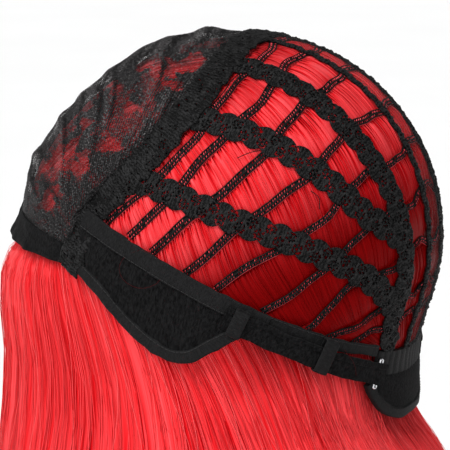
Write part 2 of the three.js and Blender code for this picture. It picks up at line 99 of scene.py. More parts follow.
WEFT_DOT_SCATTER = 0.16
WEFT_DOT_MISSING = 0.12
WEFT_DOT_SLANT = 0.55
WEFT_DOT_BOW = 0.18
WEFT_DOT_NARROW = 0.6
WEFT_DOT_TONE = 0.55
# Painted shade: the red dots darken toward the nape rows
WEFT_DOT_ROW_SHADE = 0.4
WEFT_DOT_SPREAD = 0.25
WEFT_FOLD_OFFSET = 2.0
WEFT_FOLD_LEVEL = 0.15
WEFT_FOLD_WIDTH = 0.42
WEFT_FOLD_TONE = 0.3

# Front band
FRONT_BAND_REACH = 57
FRONT_BAND_WIDTH = 13
FRONT_BAND_TEMPLE_WIDTH = 9
FRONT_BAND_LENGTH = 200
FRONT_BAND_HEIGHT = 6.5
FRONT_BAND_TEMPLE_HEIGHT = -1
FRONT_BAND_FLARE = 5.5
FRONT_BAND_TUCK = 0.03
FRONT_BAND_STEPS = (120, 14)
FRONT_BAND_LEVEL = (1.0, 1.9)
FRONT_BAND_BORDER = 0.6
FRONT_BAND_BORDER_SHARE = 0.12
FRONT_BAND_EDGE_RIPPLE = (0.4, 61)
FRONT_BAND_RIPPLE = (0.3, 23)
FRONT_BAND_CRUSH = 0.25
FRONT_BAND_CRUSH_SCALE = (3, 5)

# Front lace, with windows where the net is open
LACE_LENGTH = 220
LACE_STEPS = (204, 116)
LACE_TUCK = 0.025
LACE_FRONT_LAP = 2
LACE_BACK_LAP = 1.5
LACE_WINDOWS = (
    # along, up, half_along, half_up, tilt
    (0.763, 60.4, 6.5, 3.2, 0.35),
    (0.845, 60.3, 4.6, 3.2, 0.5),
    (0.772, 41.9, 3.6, 5.6, 0.2),
    (0.843, 42.6, 3.8, 2.6, 0.4),
    (0.730, 27.4, 3.4, 2.8, 0.0),
    (0.775, 82.5, 2.8, 2.2, 0.2),
    (0.710, 67.6, 4.0, 1.8, 0.6),
    (0.672, 80.4, 5.0, 2.0, 0.5),
    (0.753, 104.8, 3.2, 2.0, 0.3),
    (0.690, 111.4, 4.6, 2.2, 0.3),
    (0.690, 120.5, 5.4, 4.4, 0.0),
    (0.703, 103.9, 4.0, 3.0, 0.4),
    (0.825, 25.6, 3.0, 2.2, 0.0),
    (0.845, 17.8, 2.8, 2.8, 0.0),
    (0.823, 49.2, 2.2, 2.2, 0.0),
    (0.620, 48.0, 5.0, 3.0, 0.3),
    (0.650, 98.0, 4.5, 2.6, 0.2),
    (0.570, 28.0, 4.0, 3.0, 0.0),
)
LACE_THIN_PATCHES = ((0.80, 74, 12, 9), (0.723, 98, 9, 6), (0.79, 33, 10, 8))
LACE_WINDOW_GROWTH = 1.5
LACE_LOW_GROWTH = 2.1
LACE_LOW_END = (30, 25)
LACE_WINDOW_EDGE = 1.1
LACE_WINDOW_LOBES = ((0.22, 3, 1), (0.16, 5, 2.3))
LACE_WINDOW_RIM = (0.88, 0.16)
LACE_OPEN_DENSITY = 0.02
LACE_ISLAND_DENSITY = 0.9
LACE_ISLANDS = (0.9, 0.4)
LACE_FLOWER_SCALE = (5, 26)
LACE_FLOWERS = (-0.4, 0.5)
LACE_GROUND_DENSITY = 0.48
LACE_THIN_DENSITY = 0.4
LACE_THIN_RIM = (0.7, 0.5)
LACE_CLOSED_EDGE = (2, 4)
LACE_FOLDS = 20
LACE_FOLD_SWAY = 0.08
LACE_FOLD_SWAY_TURNS = (0.8, 1.6)
LACE_FOLD_PLACES = (0.08, 0.96)
LACE_FOLD_SIZES = (0.02, 0.045)
LACE_FOLD_PARTS = (1.5, 3)
LACE_FOLD_HEIGHTS = (0.5, 1.4)
LACE_CREASE_SIZE = 0.3
LACE_CRINKLE = 0.3
LACE_CRINKLE_ALONG = (47, 5)
LACE_CRINKLE_UP = (31, 3)
LACE_STAND = 1.2
LACE_STAND_HALF = 0.34
LACE_STAND_FADE = 0.3
LACE_STAND_POWER = 0.7
LACE_HELD_SHARE = 0.24
LACE_CREASE_DENSITY = 0.95
LACE_NET_LEVEL = 1.0
LACE_HALF_WALL = 0.2
LACE_FLOWER_HEIGHT = 0.2
LACE_ROUGHNESS = 0.05
# Painted light on the lace's fold ridges and painted shade in its creases, faded out toward its ends
LACE_RIDGE_HALF = 0.45
LACE_RIDGE_FADE = 0.15
LACE_RIDGE_LIGHT = 0.15
LACE_RIDGE_FULL = 1.2
LACE_CREASE_SHADE = 0.3

# Lace strips and crown seam, with columns row and across
BAND_WIDTH = 10.5
BAND_FIRST_ROW = 0.02
BAND_TUCK = 0.5
UPPER_BAND = np.array([[0.02, 0.358], [0.4, 0.372], [0.7, 0.385], [0.85, 0.48], [0.97, 0.67], [1.03, 0.74]])
MIDDLE_BAND = np.array([[0.02, 0.645], [0.28, 0.605], [0.5, 0.565], [0.6, 0.525], [0.7, 0.42]])
LOWER_BAND = np.array([[0.02, 0.872], [0.34, 0.838], [0.6, 0.752], [0.76, 0.652], [0.91, 0.56]])
BANDS = (("upper", UPPER_BAND, 0), ("middle", MIDDLE_BAND, BAND_TUCK), ("lower", LOWER_BAND, BAND_TUCK))
LACE_CELL = 0.62
LACE_LEVEL = (1.05, 1.6)
LACE_TONE = 0.35
# Painted light: the raised relief of the strips and seam is made lighter
LACE_RELIEF_LIGHT = 0.7
LACE_FUZZ = 0.14
SCALLOP_PERIOD = 8.6
SCALLOP_HEIGHT = 2.1
SCALLOP_POWER = 0.7
SCALLOP_MIDDLE = 0.65
FLOWER_OFFSET = 1.9
FLOWER_RIM = (2.7, 0.6)
FLOWER_RIM_HEIGHT = 0.5
FLOWER_EYE = (1, 0.8)
FLOWER_EYE_HEIGHT = 0.3
FLOWER_PETALS = 7
HOLE_RING = 1.9
HOLE_TURNS = np.radians([20, 55, 90, 125, 160, 215, 270, 325])
HOLE_SIZE = 0.56
HOLE_MISSING = 0.12
TUCK_LENGTH = 16
SPINE_LAST_ROW = 1.05
SPINE_BORDER = 4.0
SPINE_SCALLOPS = 0.7
SPINE_OFFSET = 9.6
SPINE_NET_HALF = 7.2
SPINE_NET_STEPS = (120, 18)
SPINE_NET_LEVEL = 2.2
SPINE_NET_WALL = 0.15
SPINE_NET_CROWN = 0.012
SPINE_NET_PUCKER = (0.4, 5, 2)
SPINE_NET_DENSITY = (-0.3, 0.3, 4)
SEAM_WIDTH = 14
SEAM_END = 0.972
SEAM_CELL = 0.74
SEAM_LEVEL = (1.5, 2.4)
SEAM_SCALLOPS = 0.45
SEAM_TAPER = 0.12
SEAM_TAPER_END = (0.75, 0.25)
SEAM_RAGGED = 0.7
SEAM_RAGGED_SCALE = 4
SEAM_RELIEF = ((0.14, 2), (0.22, 6))
SEAM_FUZZ = 0.1
SEAM_OPEN_CELLS = 0.06
SEAM_TAIL_SHARE = 0.09
SEAM_TAIL = (-52, -7)
SEAM_TAIL_RISE = 1.3
SEAM_TAIL_END = (0.88, 0.06)

# Rim tape and ear tab, with columns share, forward and up in the edge's table
TAPE_LAST_Y = 76
TAPE_FRAY = 0.22
TAPE_FRAY_SCALE = 3
TAPE_COLUMNS = 10
TAPE_STEP = 1.2
TAPE_ROUNDING = 0.18
TAPE_ROUNDED = (0.38, 0.12)
TAPE_TAB_END = 0.63
TAPE_LAP = 0.02
TAPE_WIDE = 8
TAPE_WIDE_SHIFT = 1.5
TAPE_WIDE_LEVEL = (2.9, 3.7)
TAPE_NARROW = 5
TAPE_NARROW_LEVEL = (2.4, 3.1)
TAPE_STITCHES = ((2.0, 3.45, 1.0), (-4.9, 3.75, TAPE_TAB_END))
WEAVE_ROUGHNESS = 0.03
WEAVE_TILT = 0.08
WEAVE_TILT_LENGTH = 7
STITCH_LENGTH = 1.6
STITCH_PITCH = 2.1
STITCH_MARGIN = 1
STITCH_WIDTH = 0.24
STITCH_BOW = 0.12
STITCH_TONE = 0.8
BINDING_WIDTH = 4
EAR_TAB_TOP_FRONT = (-43, 14)
EAR_TAB_TOP_BACK = (31, -21.6)
EAR_TAB_EDGE = np.array([
    [0, -48.5, -4],
    [0.2, -35, -15],
    [0.4, -21, -28.5],
    [0.6, -5.5, -39],
    [0.75, 6, -40.5],
    [0.88, 18, -34],
    [1, 30, -27.5],
])
EAR_TAB_SIZE = (85, 22)
EAR_TAB_STEPS = (80, 30)
EAR_TAB_LAP = 1.5
EAR_TAB_LEVEL = (0.4, 2.4)
EAR_TAB_PUFF = 0.5
EAR_TAB_WAVE = (0.25, 9)
EAR_HEM_WIDTH = 5.8
EAR_HEM_LEVEL = (0.3, 3.6)
EAR_HEM_SHIFT = 0.9
EAR_HEM_COLUMNS = 12
EAR_HEM_STITCH = (3.2, 3.55)
EAR_END_FIRST = (29.5, -29.5)
EAR_END_LAST = (31.5, -16.5)
EAR_END_WIDTH = 5
EAR_END_LEVEL = (2.6, 4.2)
EAR_END_STITCH = (1.5, 4.2)
VELVET_NAP = 0.05
VELVET_SHARP_ANGLE = 60
VELVET_PUFF_POWER = 0.5

# Straps, keepers and hooks
STRAP_WIDTH = 10
STRAP_DROP = 6.5
STRAP_SAG = 4.5
STRAP_FIRST_Y = 22
STRAP_LAST_Y = 75
STRAP_SPAN = STRAP_LAST_Y - STRAP_FIRST_Y
STRAP_OVERHANG = 1.03
STRAP_LEVEL = (4.6, 5.8)
STRAP_SINK = {"left": 1.2, "right": 2.2}
STRAP_SINK_END = (0.72, 0.2)
STRAP_CREASE = (0.2, 0.03)
STRAP_CREASE_DEPTH = 0.3
STRAP_FOLD = (0.2, 0.04)
STRAP_FOLD_STEP = 0.18
STRAP_NAP = 0.04
STRAP_COLUMNS = 24
KEEPERS = (
    # kind, forward, slant, extra half width
    ("front", 28, 0.0, 0.0),
    ("back", 58.5, -0.04, 1.6),
)
KEEPER_LENGTH = 6.4
KEEPER_WALL = 0.9
KEEPER_LEVEL = 5.2
KEEPER_CLEARANCE = 1.1
KEEPER_HALF_HEIGHT = 1.9
KEEPER_CORNER = 1.1
KEEPER_INNER = 0.8
KEEPER_SHARP_ANGLE = 60
KEEPER_PROFILE = np.array([
    [-0.5, 0], [-0.5, 0.8], [-0.46, 1], [-0.2, 1.06], [0.2, 1.06], [0.46, 1], [0.5, 0.8], [0.5, 0],
])
HOOK_Y = 75.2
HOOK_WIRE = 0.5
HOOK_LEVEL = {"left": 3.2, "right": 2.2}
HOOK_SHIFT = {"left": -0.3, "right": 1.4}
HOOK_LOOP = (0.9, 6.5, 0.6)
HOOK_WIRE_SIDES = 10
LOOP_CORNER_STEPS = 6

# Nape
ELASTIC_WIDTH = 12
ELASTIC_HALF_LENGTH = 33
ELASTIC_DROP = 6.5
ELASTIC_LEVEL = (0.4, 2.0)
ELASTIC_COLUMNS = 8
ELASTIC_STEP = 0.5
ELASTIC_RIB = 0.35
ELASTIC_RIB_PITCH = 4.6
ELASTIC_RIB_SWAY = (0.7, 6)
NAPE_TAB_HALF_WIDTH = 36
NAPE_TAB_BOTTOM = -73.5
NAPE_TAB_RISE = 18
NAPE_TAB_SIZE = (72, 24)
NAPE_TAB_STEPS = (60, 16)
NAPE_TAB_LAP = 1.0
NAPE_TAB_LEVEL = (0.4, 2.3)
NAPE_TAB_PUFF = 0.6
NAPE_HEM_WIDTH = 4.6
NAPE_HEM_LEVEL = (0.3, 3.2)
NAPE_HEM_SHIFT = 0.3
NAPE_HEM_STITCH = (1.8, 3.25)

# Hair behind the cap
HAIR_SECTORS = ("front", "front_left", "left", "back_left", "back", "back_right", "right", "front_right")
HAIR_CLEARANCE = 0.6
HAIR_TIP_HEIGHT = -300
FRONT_SWELL = 18.4
FRONT_SWELL_DROP = 11
FRONT_SWELL_POWER = 4
HAIR_FORM = np.array([
    # below, side, front, back
    [50, 74, 93.5, 81.2],
    [76, 76, 94.5, 80.4],
    [100, 82, 96.5, 98],
    [140, 89, 97.5, 116],
    [200, 93, 95.5, 125],
    [300, 91, 89, 124],
])
SHELL_TURNS = 96
SHELL_DOME_STEPS = 22
SHELL_FIRST_TILT = 0.02
SHELL_FALL_STEPS = 26
SHELL_LEVEL = -2.8
SHELL_FALL_DEPTH = 3.6
SHELL_FALL_DROP = 50
SHELL_INNER_LEVEL = -8.8
SHELL_TIP_HEIGHT = -290
SHELL_FLAT_SPAN = 12
SHELL_TONE = 0.4
FRONT_HAIR_COUNT = 230
FRONT_HAIR_STEPS = 12
FRONT_HAIR_REACH = (-0.08, 1.1)
FRONT_HAIR_LEVEL = -1.9
FRONT_HAIR_LIFT = (-0.6, 0.3)
FRONT_HAIR_TONE = (0.62, 0.12)
FRONT_HAIR_WIDTH = (1.4, 2.4)
FRONT_HAIR_HEIGHT = 0.9

# Hair that leaves each weft and runs under the next
ROW_PITCH = 0.5
ROW_STEPS = 9
ROW_STEP_POWER = 1.25
ROW_OVERRUN = 1.25
ROW_WALL = 0.7
ROW_STARTS = (0.035,) + WEFT_ROWS
ROW_ENDS = WEFT_ROWS + (1.075,)
ROW_REACH = 1.04
ROW_SCATTER_FIRST = 0.3
ROW_LEAN = 0.42
ROW_LEAN_SIDE = (0.1, 0.5)
ROW_LEVEL = -0.5
ROW_SWELL = 1.1
ROW_SWELL_POWER = 0.75
ROW_TUCK = 1.6
ROW_RIDGE_STEPS = 3
ROW_FINE = (1.6, 0.10)
ROW_MEDIUM = (4, 0.14)
ROW_BROAD = (16, 0.2)
ROW_TONE = 0.70
ROW_RIDGE_TONE = 0.07
# Painted shade on the hair where it runs under a weft
ROW_WEFT_SHADE_TONE = 0.1
ROW_WEFT_SHADE_SHARE = 0.05
# Painted shade on the hair rows toward the nape, and painted shadow of the crown seam on the first row
ROW_SHADE_TONE = 0.14
ROW_SHADE_CALM = 0.75
ROW_FLAT_STEP = 700
ROW_FLAT_LENGTH = 18
ROW_SHADE = (0.42, 0.36)
ROW_SHADE_SIDE = 0.2
SEAM_SHADE = 0.5
SEAM_SHADE_ROWS = (0.06, 0.1)
SEAM_SHADE_SIDE = (0.68, 0.12)
SLIT_PITCH = 1.4
SLIT_SCATTER = 0.6
SLIT_REACH = (0.18, 0.55)
SLIT_REACH_SHARES = (0.6, 1, 1.5)
SLIT_FIRST = 0.03
SLIT_HALF_WIDTH = 0.33
SLIT_DEPTH = 1.4
# Painted shade inside the slits
SLIT_SHADE_TONE = 0.9
ROW_STRAND_PITCH = 1.7
ROW_STRAND_SCATTER = 0.5
ROW_STRAND_LEVEL = (-0.05, 0.25)
ROW_STRAND_TONE = (0.72, 0.10)
ROW_STRAND_WIDTH = 0.34

# Hair that hangs below the rim, with angles in radians from the front
EDGE_TURNS = np.radians([0, 45, 57, 66, 80, 92, 105, 116, 130, 150, 165, 180])
EDGE_HEIGHTS = np.array([0, -4, -7, -15, -34, -42, -36, -31, -40, -52, -72, -74])
FALL_LEAN = 0.74
FALL_LEAN_DROP = 84
FALL_LEAN_TURN = (0.25, 0.9)
FALL_WAVES = (
    # angle, half width, strength, first drop
    (0.50, 0.035, 0.45, 40),
    (0.74, 0.05, 0.5, 70),
    (0.98, 0.04, 0.35, 30),
    (1.27, 0.11, 1.0, 60),
    (1.62, 0.05, 0.4, 90),
    (1.86, 0.07, 0.6, 60),
    (2.20, 0.06, 0.5, 20),
    (2.52, 0.08, 0.6, 30),
    (2.90, 0.07, 0.5, 50),
)
FALL_WAVE_SWAY = 0.05
FALL_WAVE_LENGTH = 60
FALL_WAVE_PHASE = 7
FALL_WAVE_GROWTH = 70
# Painted shade in the hollows between locks and close under the strap and the nape
FALL_WAVE_SHADE = 0.3
FALL_SHADE = 0.75
FALL_SHADE_TURN = (1.75, 0.4)
FALL_SHADE_FIRST = 12
FALL_SHADE_DROPS = (32, 26)
FALL_SHADE_DROP_TURN = (2.1, 0.5)
# Painted light: the hair toward the back is made lighter where the lamps leave it darker
BACK_LIGHT_TONE = 0.24
BACK_LIGHT_TURN = (1.9, 0.6)
PARTING_COUNT = 110
PARTING_DROPS = (10, 240)
PARTING_REACHES = (20, 70)
PARTING_DEPTHS = (0.4, 1)
PARTING_POWER = 4
SHEET_COLUMNS = 960
SHEET_ROWS = 22
SHEET_START = 16
SHEET_TIP_HEIGHT = -283
SHEET_TIP_SCATTER = 6
SHEET_TIP_SCALE = 5
SHEET_RIDGE_STEPS = 4
SHEET_RIDGE_SCALES = (34, 9, 2.5)
SHEET_GROWTH = 60
SHEET_DEPTH = 1.8
SHEET_RIDGE_DEPTHS = (0.4, 0.1, 0.03)
SHEET_PARTING_DEPTH = 0.5
SHEET_DEPTH_LIMITS = (0.4, 3.4)
SHEET_SWAY = 0.03
SHEET_WALL = 3
SHEET_TONE = 0.64
SHEET_RIDGE_TONES = (-0.03, 0.05, 0.06)
# Painted shade in the partings between locks
SHEET_PARTING_SHADE = 0.12
SHEET_FLAT_SPAN = 88
SHEET_RIDGE_SHADE = 0.08
CLUMP_ANGLE = 0.12
CLUMP_SCATTER = 0.3
CLUMP_DROP = (30, 220)
PATH_START = (8, 20)
PATH_TIP_GAP = 3
PATH_TIP_SHAPE = (1.3, 7)
PATH_SWAY_LENGTH = 46
PATH_SWAY_GROWTH = 80
PATH_LIFT = 0.5
PATH_LIFT_LENGTH = 38
PATH_LIFT_GROWTH = 60
PATH_LEAST_DEPTH = 0.35
LOCKS = {"count": 340, "steps": 12, "depths": (4.3, 6.0), "gather": 0.3, "sway": 0.018}
LOCK_WIDTH = (4, 7.5)
LOCK_THIN = 0.85
LOCK_TIP = (0.75, 0.25)
LOCK_TONE = (0.66, 0.1)
# Painted shade: deeper locks are darker
LOCK_DEPTH_SHADE = 0.1
LOCK_FLATNESS = 0.22
LOCK_LEAST_HEIGHT = 0.3
LOCK_SIDES = 6
STRANDS = {"count": 1500, "steps": 13, "depths": (1.1, 2.6), "gather": 0.25, "sway": 0.032}
STRAND_WIDTH = (0.3, 0.6)
STRAND_THIN = 0.7
STRAND_TIP = (0.85, 0.15)
STRAND_TONE = (0.68, 0.10)
STRAND_FLATNESS = 0.5
STRAND_SIDES = 3
STRAYS = {"count": 60, "steps": 22, "depths": (0.1, 0.5), "gather": 0.0, "sway": 0.1}
STRAY_SIZE = (0.22, 0.2)
STRAY_TONE = (0.7, 1.1)

# Loose threads on the left side
LOOSE_BLACK = (
    # row, across
    ((0.253, 0.645), (0.235, 0.672), (0.220, 0.700)),
    ((0.435, 0.642), (0.463, 0.640), (0.490, 0.662)),
)
LOOSE_RED = (
    # forward, up, level
    ((-13.8, 5.8, 3.6), (-6, 3.2, 3.6), (-3.8, -1.2, 3.6), (-6, -7.6, 3.6), (-14, -10.8, 3.6),
     (-21.5, -8.4, 3.6), (-24.2, -3, 3.6), (-21, 2.6, 3.6), (-14.6, 5.6, 3.7)),
    ((65.2, -35.5, 6.2), (67.4, -42, 6.2), (68, -48.5, 5.6), (67.8, -57, 3.4), (66.8, -65.2, 2.6)),
)
LOOSE_STEPS = 24
LOOSE_BLACK_LEVEL = 1.0
LOOSE_BLACK_BOW = 0.6
LOOSE_BLACK_WIDTH = 0.35
LOOSE_RED_WIDTH = 0.12
LOOSE_RED_TONE = 0.0

# Colours and finishes
SOFT_DETAIL = 2.0
MIX_FIRST_COLOUR = 6
MIX_SECOND_COLOUR = 7
MIX_RESULT_COLOUR = 2
# Share of the fine streaks, share of the broad ones, and fine streaks to a millimetre
HAIR_STREAKS = (0.44, 0.26, 1.7)
FALL_STREAKS = (0.4, 0.34, 1.1)
HAIR_METAL = 0.1
HAIR_ROUGHNESS = 0.42
HAIR_GLOSS = 0.08
HAIR_GLOSS_TINT = (1, 0.22, 0.22, 1)
HAIR_TONE_MIDDLE = 0.35
HAIR_TONE_SHARE = 0.62
HAIR_FINE_LENGTH = 0.016
HAIR_BROAD_SCALE = (0.4, 0.012, 0)
HAIR_BUMP = (0.25, 0.0003)
HAIR_STOPS = [(0.36, (0.07, 0.0001, 0.0004)), (0.64, (0.66, 0.006, 0.010)), (0.92, (1.0, 0.085, 0.095))]
ROW_STOPS = [(0.36, (0.07, 0.0001, 0.0004)), (0.67, (0.60, 0.005, 0.009)), (0.92, (0.88, 0.086, 0.097))]
# Painted shade: colours that the shade attribute mixes into the hair
NAPE_SHADE_STOPS = [(0.3, (0.03, 0.0001, 0.0002)), (0.6, (0.12, 0.0004, 0.0006)), (1.0, (0.27, 0.0014, 0.002))]
# Colours of the dark hair shell, painted shade beneath the rows and the fall
SHADE_STOPS = [(0.4, (0.05, 0.0003, 0.001)), (0.9, (0.30, 0.003, 0.006))]
DOT_STOPS = [(0.36, (0.16, 0.002, 0.004)), (0.9, (0.90, 0.11, 0.13))]
PALE_STOPS = [(0.4, (0.70, 0.03, 0.035)), (0.95, (0.95, 0.15, 0.155))]
CLOTHS = {
    # dark, pale, grain along and across in millimetres, roughness, gloss, bump, cross threads
    "lace": ((0.0006,) * 3, (0.019, 0.019, 0.0194), (0.55, 0.9), 0.5, 0.08, 0.9, 0.14),
    "thread": ((0.002,) * 3, (0.010,) * 3, (0.3, 0.4), 0.6, 0.12, 0.5, 0),
    "velvet": ((0.0008, 0.0008, 0.0009), (0.0095, 0.0095, 0.0099), (0.8, 1.5), 0.9, 0.08, 1.0, 0),
    "edge_thread": ((0.008,) * 3, (0.032,) * 3, (0.5, 0.5), 0.6, 0.12, 0.4, 0),
    "tape": ((0.0035, 0.0035, 0.0037), (0.012, 0.012, 0.0124), (0.4, 1.2), 0.65, 0.1, 0.5, 0),
}
CLOTH_SHEEN = 0.02
CLOTH_SHEEN_ROUGHNESS = 0.4
CLOTH_TONE_SCALE = 3
CLOTH_DETAIL = 3.0
CLOTH_TONE_SHARE = 0.5
CLOTH_STOPS = (0.32, 0.7)
CLOTH_BUMP_DISTANCE = 0.0006
ROPE_TURNS = 4.2
ROPE_BEND = 14
ROPE_BEND_SCALE = (0.5, 0.5, 0)
NET_ROUGHNESS = 0.55
NET_GLOSS = 0.12
NET_PITCH = 2.2
NET_THREAD = 0.2
SPINE_THREAD = 0.1
NET_FINE_SCALE = (0.9, 0.9, 0)
NET_DETAIL = 4.0
NET_BLOTCH_SCALE = (0.28, 0.28, 0)
NET_BROKEN = 1.8
NET_PATCHY = 1.1
NET_CLOSED = (0.84, 0.06)
NET_UNEVEN = (0.7, 0.3)
NET_CREST_FINE = 1.7
NET_CREST_THREAD = 0.5
NET_CREST_MIDDLE = 0.37
# The palest stop is painted highlight on the threads
NET_STOPS = [(0.05, (0.0005, 0.0005, 0.0006)), (0.45, (0.024, 0.0225, 0.023)), (0.8, (0.18, 0.172, 0.175))]
NET_BUMP = (0.8, 0.0005)
STEEL_WEAR_SCALE = (2, 0.9, 5)
STEEL_DETAIL = 3.0
STEEL_STOPS = [(0.3, (0.55, 0.56, 0.58)), (0.7, (0.8, 0.8, 0.82))]
STEEL_ROUGHNESS = [(0.3, (0.2,) * 3), (0.7, (0.38,) * 3)]
STEEL_BUMP = (0.1, 0.0002)

# Floor, light and camera, in metres and degrees
FLOOR_HEIGHT = -0.386
FLOOR_HALF = 40
FLOOR_GRAIN = 3.0
FLOOR_STOPS = [(0.3, (0.95,) * 3), (0.7, (0.965,) * 3)]
FLOOR_ROUGHNESS = 0.9
WORLD_STRENGTH = 0.2
LIGHTS = (
    # name, energy, spread, direction toward the light
    ("key", 3.25, 35, (0.55, -0.34, 0.74)),
    ("fill", 1.45, 60, (0.76, 0.62, 0.16)),
)
CAMERA_TURN = 110
CAMERA_RISE = 10
CAMERA_DISTANCE = 1.1
CAMERA_SHIFT = (-0.005, 0.0041)
CAMERA_LENS = 192.7
CAMERA_SENSOR = 36

# Cut size of each piece of cloth, in metres
SHEETS = (
    # piece, width, length, flat area or none, how it is held, what it rests on, pieces on it
    ("front_net", 0.243, 0.142, 0.0235, "gathered", ("brow_band", "lace_seam"), ()),
    ("brow_band", 0.013, 0.180, None, "stretched", ("front_net",), ()),
    ("lace_seam", 0.014, 0.300, None, "gathered", ("front_net",), ()),
    ("lace_spine", 0.024, 0.177, None, "stretched", ("hair_rows",), ()),
    ("nape_velvet", 0.072, 0.0215, 0.0013, "hung", ("nape_stretch_band",), ("nape_hem",)),
    ("nape_stretch_band", 0.012, 0.070, None, "stretched", ("nape_velvet",), ()),
)
SIDE_SHEETS = (
    ("lace_upper", 0.0105, 0.168, None, "stretched", ("hair_rows",), ()),
    ("lace_middle", 0.0105, 0.111, None, "stretched", ("hair_rows",), ()),
    ("lace_lower", 0.0105, 0.141, None, "stretched", ("hair_rows",), ()),
    ("ear_velvet", 0.085, 0.034, 0.0021, "hung", ("rim_band",), ("ear_hem",)),
    ("strap_band", 0.010, 0.089, None, "stretched", ("ear_velvet", "hook_wire"), ()),
)


# Numbers and points
def vec(x, y, z):
    return np.stack(np.broadcast_arrays(x, y, z), -1).astype(float)


def unit(v):
    return v / np.maximum(np.linalg.norm(v, axis=-1, keepdims=True), TINY)


def lerp(a, b, t):
    return a + (b - a) * t


def smooth(t):
    t = np.clip(t, 0, 1)
    return t * t * (3 - 2 * t)


def ease(value, first, span):
    return smooth((value - first) / span)


def bell(value, middle, size):
    return np.exp(-((value - middle) / size) ** 2)


def hump(v):
    """Rises from zero to one and back as v runs from zero to one."""
    return np.sin(math.pi * v)


def run_along(points, axis=0):
    """Distance run along one axis of a grid of points."""
    run = np.linalg.norm(np.diff(points, axis=axis), axis=-1).cumsum(axis)
    return np.concatenate([np.zeros_like(run.take([0], axis)), run], axis)


def grid(rows, columns):
    return np.linspace(0, 1, rows + 1)[:, None], np.linspace(0, 1, columns + 1)[None, :]


def flat_map(along, across, tone, layers=2):
    """Flat coordinates of a grid of points, for each of its layers."""
    flat = np.stack(np.broadcast_arrays(along, across, tone), -1).reshape(-1, 3)
    return np.concatenate([flat] * layers)


def read_table(table, column, at):
    keys = table[:, 0]
    values = table[:, column]
    slope = np.gradient(values, keys)
    slope[1:-1] = (values[2:] - values[:-2]) / (keys[2:] - keys[:-2])
    k = np.clip(np.searchsorted(keys, at) - 1, 0, len(keys) - 2)
    step = keys[k + 1] - keys[k]
    t = (at - keys[k]) / step
    rise = values[k + 1] - values[k]
    slope_in = slope[k] * step
    slope_out = slope[k + 1] * step
    bend = 3 * rise - 2 * slope_in - slope_out
    turn = slope_in + slope_out - 2 * rise
    return values[k] + t * (slope_in + t * (bend + t * turn))


def ridges(columns, rows, scale, steps):
    """Random ridges that run on along the rows and close up round the columns."""
    lines = max(int(columns / scale), 2)
    control = rng.normal(0, 1, (lines + 1, steps))
    control[-1] = control[0]
    x = np.linspace(0, lines, columns, endpoint=False)
    y = np.linspace(0, steps - 1, rows)
    i = x.astype(int)
    j = np.minimum(y.astype(int), steps - 2)
    f = smooth(x - i)[:, None]
    g = smooth(y - j)[None, :]
    low = control[i][:, j] * (1 - g) + control[i][:, j + 1] * g
    high = control[i + 1][:, j] * (1 - g) + control[i + 1][:, j + 1] * g
    return low * (1 - f) + high * f


# Head form
def share(value, size):
    return np.abs(value / size) ** HEAD_POWER


def root(value):
    return np.maximum(value, 0) ** (1 / HEAD_POWER)


def along_share(y):
    return share(y, np.where(y < 0, HEAD_FRONT, HEAD_BACK))


def side_share(z):
    return share(z, np.where(z < 0, SIDE_DROP, HEAD_TOP))


def nape_share(z):
    turn = np.clip(-z / NECK_DEPTH, 0, 1) * math.pi / 2
    return np.where(z < 0, NECK_SHARE * np.sin(turn) ** 2, side_share(z))


def form_value(p):
    across = share(p[..., 0], HEAD_HALF_WIDTH)
    along = along_share(p[..., 1])
    backward = np.where(p[..., 1] > 0, along / (across + along + TINY), 0)
    side = side_share(p[..., 2])
    return across + along + side + (nape_share(p[..., 2]) - side) * backward


def seat(p):
    """The point of the head form in line with p and its middle, or level with p below it."""
    value = form_value(p)
    on = p / root(value)[..., None]
    forward = np.maximum(-on[..., 1] / HEAD_FRONT, 0)
    up = np.maximum(on[..., 2] / HEAD_TOP, 0)
    on = on * (1 - FRONT_SLOPE_SINK * (2 * forward * up) ** 3)[..., None]
    flat = share(p[..., 0], HEAD_HALF_WIDTH) + along_share(p[..., 1])
    scale = root((1 - value + flat) / (flat + TINY))
    low = vec(p[..., 0] * scale, p[..., 1] * scale, p[..., 2])
    return np.where(p[..., 2:] > 0, on, low)


def form_normal(p):
    slopes = []
    for axis in range(3):
        step = np.zeros(3)
        step[axis] = SLOPE_STEP
        slopes.append(form_value(p + step) - form_value(p - step))
    return unit(np.stack(slopes, -1))


def lift(p, level):
    on = seat(p)
    return on + form_normal(on) * np.asarray(level)[..., None]


def side_point(y, z, side):
    along = along_share(y)
    level = 1 - side_share(z)
    nape = np.where(y > 0, nape_share(z) - side_share(z), 0)
    ring = (level + np.sqrt(np.maximum(level ** 2 - 4 * nape * along, 0))) / 2
    return vec(side * HEAD_HALF_WIDTH * root(ring - along), y, z)


def back_point(x, z):
    across = share(x, HEAD_HALF_WIDTH)
    nape = nape_share(z) - side_share(z)
    level = 1 - nape_share(z)
    ring = (level + np.sqrt(level ** 2 + 4 * nape * across)) / 2
    return vec(x, HEAD_BACK * root(ring - across), z)


def crest(angle):
    turn = np.radians(angle)
    place = seat(vec(0, -np.cos(turn), np.maximum(np.sin(turn), 0)))
    low = place
    for _ in range(SOLVE_STEPS):
        low = back_point(np.zeros_like(turn), np.minimum(-low[..., 1] * np.tan(turn), 0))
    return np.where((angle > 180)[..., None], low, place)


def rim_height(y):
    return RIM_HEIGHT + RIM_SLOPE * y


def nape_rim_height(x):
    z = rim_height(HEAD_BACK) + 0 * x
    for _ in range(SOLVE_STEPS):
        z = rim_height(back_point(x, z)[..., 1])
    return z


